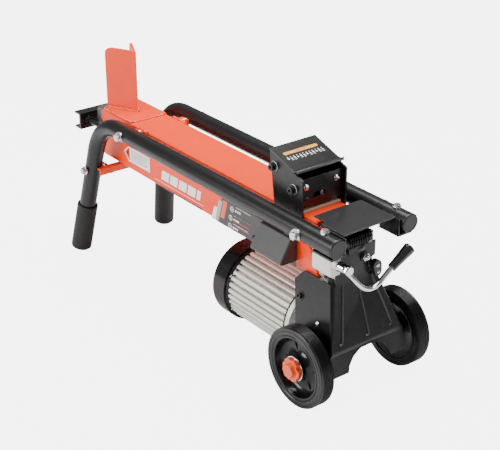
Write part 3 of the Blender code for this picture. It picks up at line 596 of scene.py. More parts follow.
# %% The list of softened pieces
SOFT = [
    ("beam", 1.6, orange_paint, "orange_paint"),
    ("wedge_base_plate", 0.6, orange_paint, "orange_paint"),
    ("splitting_wedge", 0.7, orange_paint, "orange_paint"),
    ("leg_cross_bar", 0.6, orange_paint, "orange_paint"),
    ("hub_cap_near", 0.9, orange_plastic, "orange_plastic"),
    ("hub_cap_far", 0.9, orange_plastic, "orange_plastic"),
    ("cylinder_head", 0.8, turned_steel, "cast_aluminium"),
    ("valve_block", 1.6, aluminium, "cast_aluminium"),
    ("pump_housing", 1.2, aluminium, "cast_aluminium"),
    ("saddle_bracket_near", 0.8, black_paint, "black_paint"),
    ("saddle_bracket_far", 0.8, black_paint, "black_paint"),
    # The cover plate gets the lighter black, a painted sheen.
    ("cover_plate", 0.6, cover_painted_sheen, "black_paint"),
    ("crosshead", 0.8, black_paint, "black_paint"),
    ("pusher_face_plate", 0.6, black_paint, "black_paint"),
    ("pusher_top_plate", 0.5, black_paint, "black_paint"),
    ("pusher_back_plate", 0.5, black_paint, "black_paint"),
    ("pusher_side_plate_near", 0.6, black_paint, "black_paint"),
    ("pusher_side_plate_far", 0.6, black_paint, "black_paint"),
    ("pusher_wear_pad", 0.4, nylon, "nylon"),
    ("switch_box", 1.0, grey_plastic, "dark_grey_plastic"),
    ("cable_inlet", 0.5, black_plastic, "black_plastic"),
    ("start_button", 0.4, green_plastic, "green_plastic"),
    ("bleed_screw", 1.5, black_plastic, "black_plastic"),
    ("axle", 0.4, zinc, "zinc_steel"),
    ("tie_rod_near", 0.3, black_paint, "black_paint"),
    ("tie_rod_far", 0.3, black_paint, "black_paint"),
    ("valve_spool", 0.2, chrome, "bright_steel"),
]
for name, width, material, slot in SOFT:
    softened(name, width, material, slot)
for end in ("wedge_end", "wheel_end"):
    for side in ("near", "far"):
        softened(f"tube_bolt_{end}_{side}", 0.35, zinc, "zinc_steel")
for side in ("near", "far"):
    for bolt in ("leg_bolt_", "top_bolt_"):
        softened(bolt + side, 0.35, zinc, "zinc_steel")
    for bolt in ("pusher_bolt_front_", "pusher_bolt_rear_"):
        softened(bolt + side, 0.3, black_oxide, "zinc_steel")

# %% [markdown]
# Two ends are then drawn out a little. The cross bar runs on into the legs, where
# it is welded, and the beam's low corner at the wedge end becomes a plain upright
# end: each point there slides out by its own distance from that end.

# %% The bar's ends and the beam's low corner
BAR_REACH = 14.0
BAR_END = 78.0
BEAM_FOOT = 210.0
BEAM_END = -757.0
END_LIFT = 4.0
CORNER = [(BEAM_FOOT, -716), (217, -730), (240, -744), (268, BEAM_END)]

for vert in bpy.data.objects["leg_cross_bar_finish"].data.vertices:
    if abs(vert.co.y) > BAR_END * MM:
        vert.co.y += math.copysign(BAR_REACH * MM, vert.co.y)
for vert in bpy.data.objects["beam_finish"].data.vertices:
    height = vert.co.z / MM
    if vert.co.x > at(-708, 0, 0).x or height >= CORNER[-1][0]:
        continue
    for (low, inner), (high, outer) in zip(CORNER, CORNER[1:]):
        if height <= high:
            share = max(0.0, (height - low) / (high - low))
            vert.co.x += (BEAM_END - inner - share * (outer - inner)) * MM
            break
    vert.co.z += END_LIFT * max(0.0, 1 - (height - BEAM_FOOT) / 30) * MM
print("cross bar ends out by", BAR_REACH, "mm")

# %% [markdown]
# Pieces that only show through a gap keep the frame's own mesh, and get a better
# surface: oily turned steel for the cylinder, the rotor and the gears.

# %% Inner pieces
for name, material in (("cylinder_tube", turned_steel), ("motor_rotor", turned_steel),
                       ("pump_driven_gear", turned_steel), ("piston_rod", chrome)):
    mesh = frame["nodes"][name].data
    mesh.materials.clear()
    mesh.materials.append(material)
    print(name, "keeps its mesh")

# %% [markdown]
# ## The two bent tubes
# Each side tube is one length of pipe: straight along the beam, one bend, then a
# leg that splays out. A bender forms it round a former, and edit mode can do the
# same: a circle is extruded along the beam, spun round the bend's centre, and
# extruded down the leg. Solidify gives the pipe its wall.

# %% Tubes
TUBE_Y = abs(middle("tube_cap_near").y) / MM
TUBE_Z = middle("tube_cap_near").z / MM
TUBE_R = 18.0
TUBE_START = 50.0
TUBE_WALL = 2.5
BEND_X = -634.0
BEND_R = 85.0
FOOT = (-771.0, 111.5, 5.2)
RUN_STEPS = 8
LEG_STEPS = 3
SIDES = (("near", -1), ("far", 1))
legs = {}

for side, sign in SIDES:
    start = at(BEND_X, sign * TUBE_Y, TUBE_Z)
    foot = at(FOOT[0], sign * FOOT[1], FOOT[2])
    along = Vector((-1, 0, 0))
    down = Vector((-0.1, 0.1 * sign, -1)).normalized()
    for _ in range(12):
        angle = along.angle(down)
        across = (down - along * down.dot(along)).normalized()
        end = start + BEND_R * MM * (math.sin(angle) * along + (1 - math.cos(angle)) * across)
        down = (foot - end).normalized()
    bpy.ops.mesh.primitive_circle_add(vertices=64, radius=TUBE_R * MM,
                                      location=at(TUBE_START, sign * TUBE_Y, TUBE_Z),
                                      rotation=(0, math.pi / 2, 0))
    tube = open_new("tube_leg_" + side + "_pipe")
    step = Vector(((BEND_X - TUBE_START) * MM / RUN_STEPS, 0, 0))
    for _ in range(RUN_STEPS):
        bpy.ops.mesh.extrude_region_move(TRANSFORM_OT_translate={"value": step})
    bpy.ops.mesh.spin(steps=28, angle=angle, center=start + across * BEND_R * MM,
                      axis=across.cross(along))
    step = (foot - down * 4.4 * MM - end) / LEG_STEPS
    for _ in range(LEG_STEPS):
        bpy.ops.mesh.extrude_region_move(TRANSFORM_OT_translate={"value": step})
    bpy.ops.mesh.select_all(action="SELECT")
    bpy.ops.mesh.remove_doubles(threshold=2e-6)
    bpy.ops.mesh.normals_make_consistent(inside=False)
    close(tube, 40)
    modify(tube, "SOLIDIFY", thickness=TUBE_WALL * MM, offset=-1.0)
    close(tube, 40)
    hand_over(tube, "frame", black_paint, "black_paint", "tube_leg_" + side)
    legs[side] = (foot, -down)
    print("tube", side, "bends", round(math.degrees(angle), 1), "degrees")

# %% [markdown]
# Rubber sleeves close the legs. A sleeve is turned round the leaning leg: a thick
# sole, a straight wall, and a lip that stands a little proud of the tube.

# %% Foot sleeves and tube caps
sleeve_outline = ([(0.0, 0.0), (0.0, 19.6), (0.7, 21.2), (2.2, 22.3), (4.0, 22.5)]
                  + [(103.0, 22.3), (108.5, 22.4), (111.2, 22.3), (112.0, 21.4)]
                  + [(112.0, 19.2), (111.4, 18.5), (108.0, 18.2), (4.0, 18.2), (4.0, 0.0)])
cap_outline = [(-12, 0), (-12, 15.2), (0.3, 15.2), (0.3, 17.6), (0.8, 18.0), (2.6, 18.0),
               (3.7, 17.3), (4.3, 15.9), (4.3, 14.6), (3.8, 14.0), (3.8, 0)]
for side, sign in SIDES:
    foot, up = legs[side]
    sleeve = turned("foot_sleeve_" + side + "_rubber", sleeve_outline, foot, up)
    hand_over(sleeve, "frame", foot_rubber, "rubber", "foot_sleeve_" + side)
    cap = turned("tube_cap_" + side + "_plug", cap_outline,
                 at(TUBE_START, sign * TUBE_Y, TUBE_Z), (1, 0, 0))
    hand_over(cap, "frame", black_plastic, "black_plastic", "tube_cap_" + side)

# %% [markdown]
# ## Wheels
# A tyre is one turned ring. Its tread is a row of narrow ridges round the
# circumference on a slightly crowned surface, and the sidewall rolls over to the
# rim. The rim is a deep dish with thin webs between the hub and the wall, which
# stiffen it while it stays thin enough to mould.

# %% Tyres
WHEEL_R = 76.0
TREAD_IN = 102.6
TREAD_OUT = 125.4
RIDGES = 7
GROOVE = 2.5
WEBS = 6
pitch = (TREAD_OUT - TREAD_IN) / RIDGES
tread = [(101.8, 74.2), (102.3, 75.3)]
for i in range(RIDGES):
    for share, drop in ((0.0, GROOVE), (0.36, GROOVE), (0.44, 0.7), (0.54, 0.15), (0.68, 0.0),
                        (0.82, 0.15), (0.92, 0.7)):
        tread.append((TREAD_IN + pitch * (i + share), WHEEL_R - drop))
tread += [(TREAD_OUT, WHEEL_R - GROOVE), (TREAD_OUT + 0.6, WHEEL_R - 0.4)]
tyre_outline = ([(103.8, 61.8), (102.2, 63.0), (101.8, 66.5)] + tread
                + [(126.6, 76.0), (128.6, 76.0), (129.6, 75.5), (130.3, 74.4), (130.5, 73.0),
                   (130.5, 70.6), (129.7, 70.0), (129.7, 69.0), (130.4, 68.4), (130.5, 65.4),
                   (130.1, 64.2), (129.2, 63.4), (129.2, 61.8), (103.8, 61.8)])
rim_outline = [(98, 8.5), (131, 8.5), (131, 16.4), (130, 17.6), (121, 19.2), (115.5, 22.5),
               (111.5, 29), (110, 37), (110.6, 44), (113.4, 49.6), (119, 53.2), (126.4, 55.4),
               (129.0, 56.4), (129.8, 58.0), (129.8, 60.0), (129.0, 61.2), (127.4, 61.7),
               (104, 61.7), (103.6, 60), (103.6, 53), (106.5, 48), (107, 24), (104, 20),
               (98, 19), (98, 8.5)]
for side, sign in SIDES:
    hub = at(0, 0, WHEEL_R)
    out = (0, sign, 0)
    tyre = turned("tyre_" + side + "_ribbed", tyre_outline, hub, out, steps=128)
    hand_over(tyre, "wheel_" + side, tyre_rubber, "tyre_rubber", "tyre_" + side)
    rim = turned("wheel_rim_" + side + "_dish", rim_outline, hub, out)
    webs = []
    for i in range(WEBS):
        turn = (i + 0.5) * 2 * math.pi / WEBS
        place = hub + Vector((40 * math.sin(turn), sign * 110.6, 40 * math.cos(turn))) * MM
        webs.append(block("web", place, (1.5, 3.4, 23), 0.5, rotation=(0, turn, 0)))
    joined(rim, *webs)
    hand_over(rim, "wheel_" + side, fan_plastic, "black_plastic", "wheel_rim_" + side)
    ring = turned("hub_washer_" + side, [(129.4, 9), (131.2, 9), (131.2, 22.0), (130.6, 23.4),
                                         (129.4, 23.6), (129.4, 9)], hub, out, steps=64)
    hand_over(ring, "wheel_" + side, chrome, "zinc_steel")
print("tread ridges:", RIDGES, "at", round(pitch, 2), "mm")

# %% [markdown]
# ## Motor
# The housing is an extrusion-like casting with long cooling fins. A circle with
# eight points for each fin is drawn, the points of the tips are scaled out, and
# the outline is filled and extruded along the shaft. The fan sits in a glossy
# shell at the far end, with a black shield between shell and fins, and a gasket
# closes the pump end.

# %% Finned housing
MOTOR_Z = 90.0
FINS = 36
ROOT_R = 66.0
motor_axis = at(0, 0, MOTOR_Z)
FIN_FAR = -268.0
FIN_NEAR = -100.6
bpy.ops.mesh.primitive_circle_add(vertices=FINS * 8, radius=ROOT_R * MM,
                                  location=at(FIN_FAR, 0, MOTOR_Z), rotation=(0, math.pi / 2, 0))
housing = open_new("motor_body_fins")
mesh_edit = bmesh.from_edit_mesh(housing.data)
for offsets, radius in (((3, 4), 75.0), ((2, 5), 74.8), ((1, 6), 73.8)):
    bpy.ops.mesh.select_all(action="DESELECT")
    mesh_edit.verts.ensure_lookup_table()
    for vert in mesh_edit.verts:
        vert.select = vert.index % 8 in offsets
    mesh_edit.select_flush_mode()
    bpy.ops.transform.resize(value=(1, radius / ROOT_R, radius / ROOT_R),
                             center_override=at(FIN_FAR, 0, MOTOR_Z))
bpy.ops.mesh.select_all(action="SELECT")
bpy.ops.mesh.edge_face_add()
bpy.ops.mesh.extrude_region_move(
    TRANSFORM_OT_translate={"value": ((FIN_NEAR - FIN_FAR) * MM, 0, 0)})
bpy.ops.mesh.select_all(action="SELECT")
bpy.ops.mesh.normals_make_consistent(inside=False)
close(housing, 25)
modify(housing, "BEVEL", width=0.5 * MM, segments=1, limit_method="ANGLE",
       angle_limit=math.radians(50))
close(housing, 25)
hand_over(housing, "frame", aluminium, "cast_aluminium", "motor_body")
print("fins:", FINS)

# %% Fan shell
VENTS = 24
VENT_R = 46.0
shell_outline = ([(-275.0, 76.8), (-275.0, 80.7), (-275.4, 81.2), (-306.0, 81.2)]
                 + [(-a, r) for a, r in arc(308.0, 73.7, 7.5, 90, 0, 8)]
                 + [(-315.5, 12.0), (-312.5, 12.0), (-312.5, 69.0), (-309.0, 74.5),
                    (-303.0, 76.8), (-275.0, 76.8)])
shell = turned("fan_cover_shell", shell_outline, motor_axis, (1, 0, 0), steps=128)
vents = []
for i in range(VENTS):
    turn = 2 * math.pi * i / VENTS
    place = motor_axis + Vector((-312.5, VENT_R * math.sin(turn), VENT_R * math.cos(turn))) * MM
    vents.append(block("vent", place, (20, 4.4, 30), 2, 3, rotation=(-turn, 0, 0)))
cutter = joined(*vents)
modify(shell, "BOOLEAN", object=cutter, operation="DIFFERENCE")
bpy.data.objects.remove(cutter)
close(shell, 35)
hand_over(shell, "frame", fan_plastic, "black_plastic", "fan_cover")

# %% Shield, gasket and shell screws
shield = turned("motor_shield", [(-290, 30), (-266.6, 30), (-266.6, 69.5), (-267.6, 71.0),
                                 (-271.0, 72.0), (-274.0, 76.4), (-290, 76.4), (-290, 30)],
                motor_axis, (1, 0, 0), steps=128)
hand_over(shield, "frame", black_plastic, "black_plastic")
gasket = turned("motor_gasket", [(-100.4, 50), (-100.4, 75.3), (-99.2, 75.3), (-99.2, 50),
                                 (-100.4, 50)], motor_axis, (1, 0, 0))
hand_over(gasket, "frame", foot_rubber, "rubber")

screw_outline = [(0, 0), (0, 1.6), (3.2, 1.6), (3.2, 3.4), (4.2, 3.4), (5.4, 2.4), (5.8, 0.9),
                 (5.0, 0.8), (5.0, 0)]
SHELL_SCREWS = 6
SCREW_RING = 73.4
for i in range(SHELL_SCREWS):
    turn = math.radians(152 + 360 * i / SHELL_SCREWS)
    place = at(-275.5, SCREW_RING * math.cos(turn), MOTOR_Z + SCREW_RING * math.sin(turn))
    screw = turned("shell_screw_" + str(i + 1), screw_outline, place, (1, 0, 0), steps=20)
    hand_over(screw, "frame", chrome, "zinc_steel")

# %% [markdown]
# ## Lever and grip
# The lever is a chromed round bar, bent so that the hand clears the bracket. A
# curve with a round bevel is the quickest way to a smooth bend; it is then made
# a mesh. Its boss, hexagon and end disc are turned, and the polished grip tapers
# towards the bar.

# %% Lever
LEVER_Y = -60.0
LEVER_Z = 271.0
LEVER_R = 5.0
rod_points = [(38, LEVER_Y, LEVER_Z), (44, -57.5, 266), (51, -50, 255), (56.5, -38, 239),
              (59.5, -24, 227), (60, -8, 223), (60, 8, 227.5), (60, 22, 238), (60, 42, 252)]
bpy.ops.curve.primitive_bezier_curve_add()
bar = bpy.context.object
bar.name = "control_lever_bar"
bar.data.splines.clear()
spline = bar.data.splines.new("BEZIER")
spline.bezier_points.add(len(rod_points) - 1)
for point, place in zip(spline.bezier_points, rod_points):
    point.co = at(*place)
    point.handle_left_type = "AUTO"
    point.handle_right_type = "AUTO"
bar.data.bevel_depth = LEVER_R * MM
bar.data.bevel_resolution = 6
bar.data.resolution_u = 10
bar.data.use_fill_caps = True
bar.location = (0, 0, 0)
alone(bar)
bpy.ops.object.convert(target="MESH")
close(bar, 40)

# %% Lever boss, nut and end disc
lever_line = at(0, LEVER_Y, LEVER_Z)
boss = turned("boss", [(1, 0), (1, 5.9), (31.2, 5.9), (31.4, 9.4), (33, 9.8), (35, 8.8), (46.5, 8.2),
                       (48.6, 8.2), (48.6, 0)], lever_line, (1, 0, 0), steps=48)
nut = hexagon("lever_nut", at(52.5, LEVER_Y, LEVER_Z), 17, 8, 0.9)
disc = turned("disc", [(56, 0), (56, 8.4), (58.2, 8.4), (59, 7.6), (59, 0)], lever_line,
              (1, 0, 0), steps=48)
joined(bar, boss, nut, disc)
hand_over(bar, "lever", chrome, "bright_steel", "control_lever")

# %% Lever grip
grip_way = Vector((0, 46, 29)).normalized()
grip_outline = ([(0, 5.2), (0, 7.0), (0.8, 7.9), (2.4, 8.2)]
                + [(6 + 38 * i / 8, 8.2 + 2.6 * (i / 8) ** 1.3) for i in range(9)]
                + arc(49.2, 8.1, 2.8, 90, 0, 6)
                + [(52, 0), (8, 0), (8, 5.2), (0, 5.2)])
grip = turned("lever_grip_polished", grip_outline, at(60, 36, 248.1), grip_way, steps=64)
hand_over(grip, "lever", grip_plastic, "black_plastic", "lever_grip")

# %% [markdown]
# ## Small fittings at the wheel end
# A ribbed grip lies across the valve block, an acorn nut with a toothed washer
# holds the bracket's tongue, and a chrome screw sits in the bleed knob.

# %% Ribbed carry grip
GRIP_RIBS = 8
RIB_PITCH = 5.2
rib_outline = [(-44, 0), (-44, 11.5), (-43, 12.0)]
for i in range(GRIP_RIBS):
    y = -42.4 + RIB_PITCH * i
    rib_outline += [(y, 10.6), (y + 0.9, 13.4), (y + 1.5, 14.0), (y + 2.3, 14.0),
                    (y + 2.9, 13.4), (y + 3.8, 10.6)]
rib_outline += [(0.6, 12.2), (1.2, 14.0), (7.4, 14.0), (9.2, 13.2), (10, 11.4), (10, 0)]
carry = turned("carry_grip_ribbed", rib_outline, at(25, 0, 308), (0, 1, 0), steps=72)
joined(carry, block("grip_foot", at(17.5, -15, 289), (17, 38, 17.5), 1.5))
hand_over(carry, "frame", fan_plastic, "black_plastic", "carry_grip")

# %% Acorn nut and star washer
NUT_Y = 19.0
NUT_Z = 256.0
TEETH = 20
dome = turned("dome_nut_acorn", [(8.5, 0), (8.5, 6.6), (15, 6.6), (15.4, 6.2)]
              + [(15.4 + 5.6 * math.sin(math.radians(a)), 6.2 * math.cos(math.radians(a)))
                 for a in range(15, 91, 15)], at(0, NUT_Y, NUT_Z), (1, 0, 0), steps=40)
joined(dome, hexagon("flats", at(12.8, NUT_Y, NUT_Z), 14, 5.4, 0.6))
hand_over(dome, "frame", chrome, "zinc_steel", "dome_nut")

star = at(9.1, NUT_Y, NUT_Z)
bpy.ops.mesh.primitive_cylinder_add(vertices=TEETH * 2, radius=9.6 * MM, depth=1.5 * MM,
                                    location=star, rotation=(0, math.pi / 2, 0))
washer = open_new("star_washer")
mesh_edit = bmesh.from_edit_mesh(washer.data)
bpy.ops.mesh.select_all(action="DESELECT")
for vert in mesh_edit.verts:
    place = vert.co - star
    step = round(math.atan2(place.z, place.y) / math.pi * TEETH)
    vert.select = step % 2 == 0
mesh_edit.select_flush_mode()
bpy.ops.transform.resize(value=(1, 0.84, 0.84), center_override=star)
close(washer, 20)
hand_over(washer, "frame", black_oxide, "zinc_steel")

# %% Screws in the bleed knob and the pusher's back plate
round_head = [(0, 0), (0, 5.4), (0.8, 5.6), (1.2, 5.0), (1.4, 4.2), (3.2, 3.8), (4.0, 3.2),
              (4.4, 2.0), (4.4, 0)]
SMALL_SCREWS = [
    ("bleed_knob_screw", (22, 40.5, 236), 0.62, "bleed", chrome),
    ("bleed_knob_stud", (22, 43, 222), 0.45, "bleed", chrome),
    ("back_plate_screw_near", (-88, -36, 369), 1.05, "pusher", chrome),
    ("back_plate_screw_far", (-88, 34, 370), 1.05, "pusher", chrome),
    ("back_plate_screw_low", (-88, -35, 346), 0.9, "pusher", black_oxide),
]
for name, place, size, body, finish in SMALL_SCREWS:
    outline = [(a * size, r * size) for a, r in round_head]
    screw = turned(name, outline, at(*place), (1, 0, 0), steps=32)
    hand_over(screw, body, finish, "zinc_steel")
pin = turned("back_plate_pin", [(-12, 0), (-12, 4.6), (-3.2, 4.6), (-2.6, 3.8), (-2.6, 0)],
             at(-88, 4, 347.5), (1, 0, 0), steps=32)
hand_over(pin, "pusher", turned_steel, "zinc_steel")
print("small screws:", len(SMALL_SCREWS))

# %% [markdown]
# ## The wheel bracket
# The bracket is one folded sheet. Its two front folds have a real bending
# radius, far larger than a broken edge, so those edges get their own wide bevel
# before the rest is softened. Three pressed ribs stiffen the front. A press
# makes them; here a round line is laid along each and half sunk into the sheet.

# %% Bracket
FRONT_X = 48.0
FRONT_Z = 107.0
FRONT_LEAN = -0.385
HALF_WIDTH = 86.0
TAPER = 0.2966


def on_front(y, z):
    """A place on the leaning front of the bracket."""
    return at(FRONT_X + FRONT_LEAN * (z - FRONT_Z), y, z)


def on_cheek(x, z, sign):
    """A place on the leaning side of the bracket."""
    return at(x, sign * (HALF_WIDTH - TAPER * (z - FRONT_Z)), z)


def front_fold(place):
    """Whether a point lies on one of the two outer front folds."""
    z = place.z / MM
    if not 106.5 < z < 219:
        return False
    fold = on_front(HALF_WIDTH - TAPER * (z - FRONT_Z), z)
    return abs(abs(place.y) - fold.y) < 0.5 * MM and abs(place.x - fold.x) < 0.5 * MM


softened("wheel_bracket", 0.8, black_paint, "black_paint", fold=5.0, on_fold=front_fold)
print("bracket softened")

# %% A round line
PUDDLE = 1.1


def bead(name, places, radius, body, material, slot, ripple=0.0):
    """A round line through places; with a ripple it becomes a weld bead."""
    bpy.ops.curve.primitive_nurbs_path_add()
    line = bpy.context.object
    alone(line)
    line.name = name
    line.data.splines.clear()
    spline = line.data.splines.new("POLY")
    spots = []
    for before, after in zip(places, places[1:]):
        steps = max(1, int((after - before).length / (PUDDLE * MM))) if ripple else 1
        spots += [before.lerp(after, i / steps) for i in range(steps)]
    spots.append(places[-1])
    spline.points.add(len(spots) - 1)
    for i, (point, spot) in enumerate(zip(spline.points, spots)):
        point.co = (*spot, 1)
        point.radius = 1 + ripple * math.sin(i * 2.1) + ripple * 0.6 * math.sin(i * 0.83)
    line.data.bevel_depth = radius * MM
    line.data.bevel_resolution = 3
    line.data.use_fill_caps = True
    bpy.ops.object.convert(target="MESH")
    bpy.ops.object.transform_apply(location=True, rotation=True, scale=True)
    close(line, 60)
    return hand_over(line, body, material, slot)


# %% Ribs on the bracket's front
RIB_R = 2.3
RIB_SINK = Vector((-0.2, 0, -0.1)) * MM
# The ribs get the lighter black, whose paler colour is a painted sheen along them.
for name, run in (("left", ((-29.5, 214), (-56, 124), (-58, 120.4), (-63.6, 119.2))),
                  ("middle", ((5.3, 214), (5.4, 122), (4, 118.8), (-2.6, 118))),
                  ("right", ((39.6, 213), (60.6, 126), (60, 121), (54.6, 119.2)))):
    places = [on_front(y, z) + RIB_SINK for y, z in run]
    bead("bracket_rib_" + name, places, RIB_R, "frame", black_satin, "black_paint")
print("bracket ribs: 3")

# %% [markdown]
# ## Weld beads
# The wedge is welded to its base plate, and the plate to the beam, before
# painting. A bead is a row of overlapping puddles, so its thickness ripples as
# it runs. The same line tool makes it, with its radius swaying from step to step.

# %% Beads
weld_paint = recipe("orange_weld", (0.9, 0.06, 0.004), 0.16, spread=0.06, skin_scale=300,
                    skin_depth=0.2, coat=0.8, coat_rough=0.06, gloss=0.6)
PLATE_TOP = 324.9
BEAM_TOP = 320.3
runs = []
for side, sign in SIDES:
    runs += [
        ("weld_wing_" + side, 2.8, 0.2, ((-753, sign * 35.0, PLATE_TOP),
                                         (-720, sign * 19.2, PLATE_TOP),
                                         (-684.5, sign * 0.6, PLATE_TOP))),
        ("weld_plate_" + side, 1.9, 0.25, ((-752, sign * 43.4, BEAM_TOP + 0.8),
                                           (-646, sign * 43.4, BEAM_TOP + 0.8))),
        ("weld_lug_" + side, 2.4, 0.3, ((-622, sign * 47.0, 319.5), (-578, sign * 47.0, 319.5))),
    ]
runs.append(("weld_plate_front", 1.8, 0.25, ((-644.6, -38, BEAM_TOP + 0.6),
                                             (-644.6, 36, BEAM_TOP + 0.6))))
for name, radius, ripple, run in runs:
    bead(name, [at(*place) for place in run], radius, "frame", weld_paint, "orange_paint", ripple)
print("weld beads:", len(runs))

# %% [markdown]
# ## Bolts and washers on the plates
# Socket cap screws hold the pusher and the bracket. Their heads are black, their
# washers bright, which draws a thin ring round each head. One washer and one
# head are turned, and each copy is placed along the normal of its own plate.

# %% Washers and screws
SIDE_PLATE_OUT = 52.2
washer_outline = [(0, 3.6), (0, 8.4), (0.3, 8.8), (1.0, 8.8), (1.3, 8.4), (1.3, 3.6), (0, 3.6)]
socket_head = [(-2, 0), (-2, 5.2), (4.6, 5.2), (5.3, 4.6), (5.3, 3.0), (2.2, 2.8), (2.2, 0)]
for side, sign in SIDES:
    for end in ("front", "rear"):
        hole = middle("pusher_bolt_" + end + "_" + side)
        face = Vector((hole.x, sign * SIDE_PLATE_OUT * MM, hole.z))
        ring = turned("pusher_washer_" + end + "_" + side,
                      [(a * 1.2, r * 1.12) for a, r in washer_outline], face, (0, sign, 0), 48)
        hand_over(ring, "pusher", bright_zinc, "zinc_steel")
    out = Vector((0, sign, TAPER)).normalized()
    head = turned("cheek_screw_black_" + side, socket_head, on_cheek(-62.5, 174, sign), out, 32)
    hand_over(head, "frame", black_oxide, "zinc_steel")
    rim = turned("cheek_washer_" + side, washer_outline, on_cheek(-62.5, 174, sign), out, 40)
    hand_over(rim, "frame", black_paint, "black_paint")
    head = turned("cheek_screw_bright_" + side, [(a * 0.6, r * 0.75) for a, r in round_head],
                  on_cheek(-5.4, 144.7, sign), out, 32)
    hand_over(head, "frame", zinc, "zinc_steel")

head = turned("valve_flange_screw", socket_head, at(-9, -47.4, 231), (0, -1, 0), 32)
hand_over(head, "frame", black_oxide, "zinc_steel")

for side, sign in SIDES:
    nut = hexagon("tie_rod_nut_" + side, at(-798.8, sign * 57.5, 284), 8.0 * math.sqrt(3), 6.4, 0.8)
    hand_over(nut, "pusher", zinc, "zinc_steel")
print("washers, screws and nuts done")

# %% [markdown]
# ## Printed stickers
# The labels on the beam are thin printed film. A sheet is cut for each colour of
# ink and laid a tenth of a millimetre apart, so every print is real geometry and
# needs no picture. The marks are plain bars and shapes that stand for print, and
# spell nothing.

# %% Inks
ink_white = recipe("print_white", (0.93, 0.92, 0.9), 0.32, spread=0.02, skin_depth=0.05)
ink_grey = recipe("print_grey", (0.42, 0.40, 0.38), 0.35, spread=0.04, skin_depth=0.05)
ink_dark = recipe("print_dark", (0.028, 0.026, 0.026), 0.34, spread=0.05, skin_depth=0.06)
ink_red = recipe("print_red", (0.16, 0.012, 0.006), 0.34, spread=0.04, skin_depth=0.05)
ink_orange = recipe("print_orange", (0.86, 0.09, 0.02), 0.32, spread=0.03, skin_depth=0.05)
ink_yellow = recipe("print_yellow", (0.86, 0.42, 0.03), 0.34, spread=0.04, skin_depth=0.05)

# %% Film cutting


def film(name, outlines, push, body, ink, slot):
    """Thin flat shapes from outlines of points, joined as one print."""
    cuts = []
    for outline in outlines:
        bpy.ops.mesh.primitive_plane_add(size=MM, location=outline[0])
        cut = open_new(name)
        bpy.ops.mesh.merge(type="CENTER")
        for before, after in zip(outline, outline[1:]):
            bpy.ops.mesh.extrude_region_move(TRANSFORM_OT_translate={"value": after - before})
        bpy.ops.mesh.select_all(action="SELECT")
        bpy.ops.mesh.edge_face_add()
        bpy.ops.mesh.extrude_region_move(TRANSFORM_OT_translate={"value": push})
        bpy.ops.mesh.select_all(action="SELECT")
        bpy.ops.mesh.normals_make_consistent(inside=False)
        close(cut, 20)
        cuts.append(cut)
    made = joined(*cuts) if len(cuts) > 1 else cuts[0]
    made.name = name
    return hand_over(made, body, ink, slot)


BEAM_SIDE = -47.4
FILM = 0.12


def on_side(layer, *points):
    """Places on the beam's labelled side, a number of films out."""
    return [at(x, BEAM_SIDE - FILM * layer, z) for x, z in points]


def bar_on_side(layer, x, z, long, tall):
    """A level bar of print on the beam's side."""
    return on_side(layer, (x, z), (x + long, z), (x + long, z + tall), (x, z + tall))


outward = Vector((0, -FILM * MM, 0))

def print_side(name, ink, *outlines):
    """A print in one ink on the beam's labelled side."""
    return film(name, outlines, outward, "frame", ink, "orange_paint")


# %% Notice sticker at the wedge end
ROW_LENGTHS = (66, 60, 66, 52, 64, 58)
print_side("notice_film", ink_white,
           on_side(0, (-673, 250.5), (-656, 232), (-575, 232), (-575, 265), (-656, 265)))
print_side("notice_rows", ink_grey,
           *[bar_on_side(1, -645, 258.6 - 4.1 * i, long, 2.0) for i, long in enumerate(ROW_LENGTHS)])
print_side("notice_arrow", ink_orange,
           on_side(1, (-670, 250.5), (-655.5, 235), (-651, 235), (-651, 262.5), (-655.5, 262.5)))
print_side("notice_arrow_core", ink_dark, on_side(2, (-664, 250.5), (-655, 242), (-655, 259)))

# %% Generic mark with its lines
SLANT = 5.0
MARK_LOW = 233.0
MARK_TOP = 254.0
mark = [on_side(0, (x, MARK_LOW), (x + long, MARK_LOW), (x + long + SLANT, MARK_TOP),
                (x + SLANT, MARK_TOP))
        for x, long in ((-533, 26), (-502, 26), (-471, 26), (-440, 26), (-409, 12))]
print_side("generic_mark", ink_white, *mark)
print_side("generic_mark_line", ink_white, bar_on_side(0, -557, 225.4, 172, 0.9))
print_side("small_print_row", ink_red,
           *[bar_on_side(0, -539 + 9.4 * i, 214.6, 7.2, 4.6) for i in range(16)])

# %% Stripes and the dark panel
print_side("panel_dark", ink_dark,
           on_side(0, (-323, 268.5), (-343, 210.8), (-98, 210.8), (-98, 268.5)))
print_side("stripe_white", ink_white,
           on_side(0, (-348, 240.6), (-358.7, 210.8), (-347, 210.8), (-337, 240.6)))
print_side("stripe_grey", ink_grey,
           on_side(1, (-333, 259), (-345.5, 211.3), (-335.5, 211.3), (-321.5, 259)))
print_side("stripe_orange", ink_orange,
           on_side(1, (-318.5, 263.5), (-328.5, 224), (-316.5, 224), (-305.5, 263.5)))
print_side("panel_lines_red", ink_orange,
           bar_on_side(1, -286, 222, 48, 0.8), bar_on_side(1, -282, 242.5, 48, 0.8),
           bar_on_side(1, -284, 232, 46, 0.8), bar_on_side(1, -190, 211.5, 22, 0.9))
small = []
for x, z in ((-281, 252.5), (-286, 232.8), (-289, 214.8)):
    small += [bar_on_side(1, x + 6.2 * i, z, 4.4, 4.0) for i in range(3)]
    small.append(bar_on_side(1, x + 2, z + 9.6, 46, 0.7))
print_side("panel_small_print", ink_white, *small)

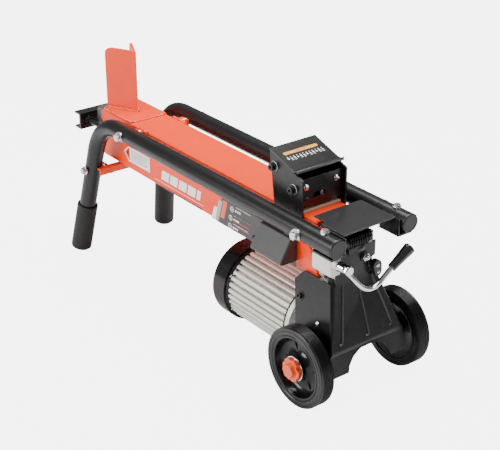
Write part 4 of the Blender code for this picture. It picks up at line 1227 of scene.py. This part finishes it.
# %% Round icons on the panel
icon_ring = [(0, 4.3), (0, 5.5), (0.24, 5.5), (0.24, 4.3), (0, 4.3)]
for i, (x, z) in enumerate(((-290.6, 254.4), (-295.3, 234.9), (-297.8, 216.9))):
    ring = turned("panel_icon_" + str(i + 1), icon_ring, at(x, BEAM_SIDE - FILM, z), (0, -1, 0),
                  steps=40)
    hand_over(ring, "frame", ink_white, "orange_paint")
print_side("panel_icon_cores", ink_white,
           bar_on_side(1, -293.2, 253.4, 5.2, 1.6), bar_on_side(1, -296.2, 232.6, 1.8, 5),
           bar_on_side(1, -300, 216, 4.4, 1.8))

# %% Rolled lip at the rear edge of the pusher's top plate
lip = block("top_plate_lip", at(-92.6, 0.6, 399.4), (3.0, 108.5, 6.4), 1.4, 4, smooth=40)
# The lip gets the lighter black, whose paler colour is a painted sheen.
hand_over(lip, "pusher", black_satin, "black_paint")

# %% Strip and pictograms on the pusher's top plate
bpy.context.view_layer.update()
plate = bpy.data.objects["pusher_top_plate_finish"]


def on_plate(layer, x, y):
    """A place on the sloping top plate, found with a plumb line."""
    _, place, normal, _ = plate.ray_cast(at(x, y, 500), Vector((0, 0, -1)))
    return place + normal * (FILM * layer) * MM


def patch(layer, x0, x1, y0, y1):
    """Four corners of a print on the top plate."""
    return [on_plate(layer, x0, y0), on_plate(layer, x0, y1), on_plate(layer, x1, y1),
            on_plate(layer, x1, y0)]


SIGNS = 12
SIGN_PITCH = 7.1
plate_out = on_plate(1, -140, 0) - on_plate(0, -140, 0)
strip = [on_plate(0, x, y) for x, y in ((-151, -38), (-151, 36), (-149, 38), (-146, 38),
                                        (-144, 36), (-144, -38), (-146, -40), (-149, -40))]
film("top_strip", [strip], plate_out, "pusher", ink_yellow, "black_paint")
film("top_strip_bars", [patch(1, -149, -146.2, -13 + 6 * i, -9 + 6 * i) for i in range(4)],
     plate_out, "pusher", ink_orange, "black_paint")
signs = []
for i in range(SIGNS):
    y = -41 + SIGN_PITCH * i
    signs.append(patch(0, -138.4, -136.6, y + 0.8, y + 2.8))
    signs.append(patch(0, -135.2 + 1.2 * (i % 2), -131.4, y, y + 3.6))
    if i % 3:
        signs.append(patch(0, -129.6, -128.4, y - 0.4, y + 4.0))
film("top_signs", signs, plate_out, "pusher", ink_white, "black_paint")
print("top plate prints:", len(signs) + 5)
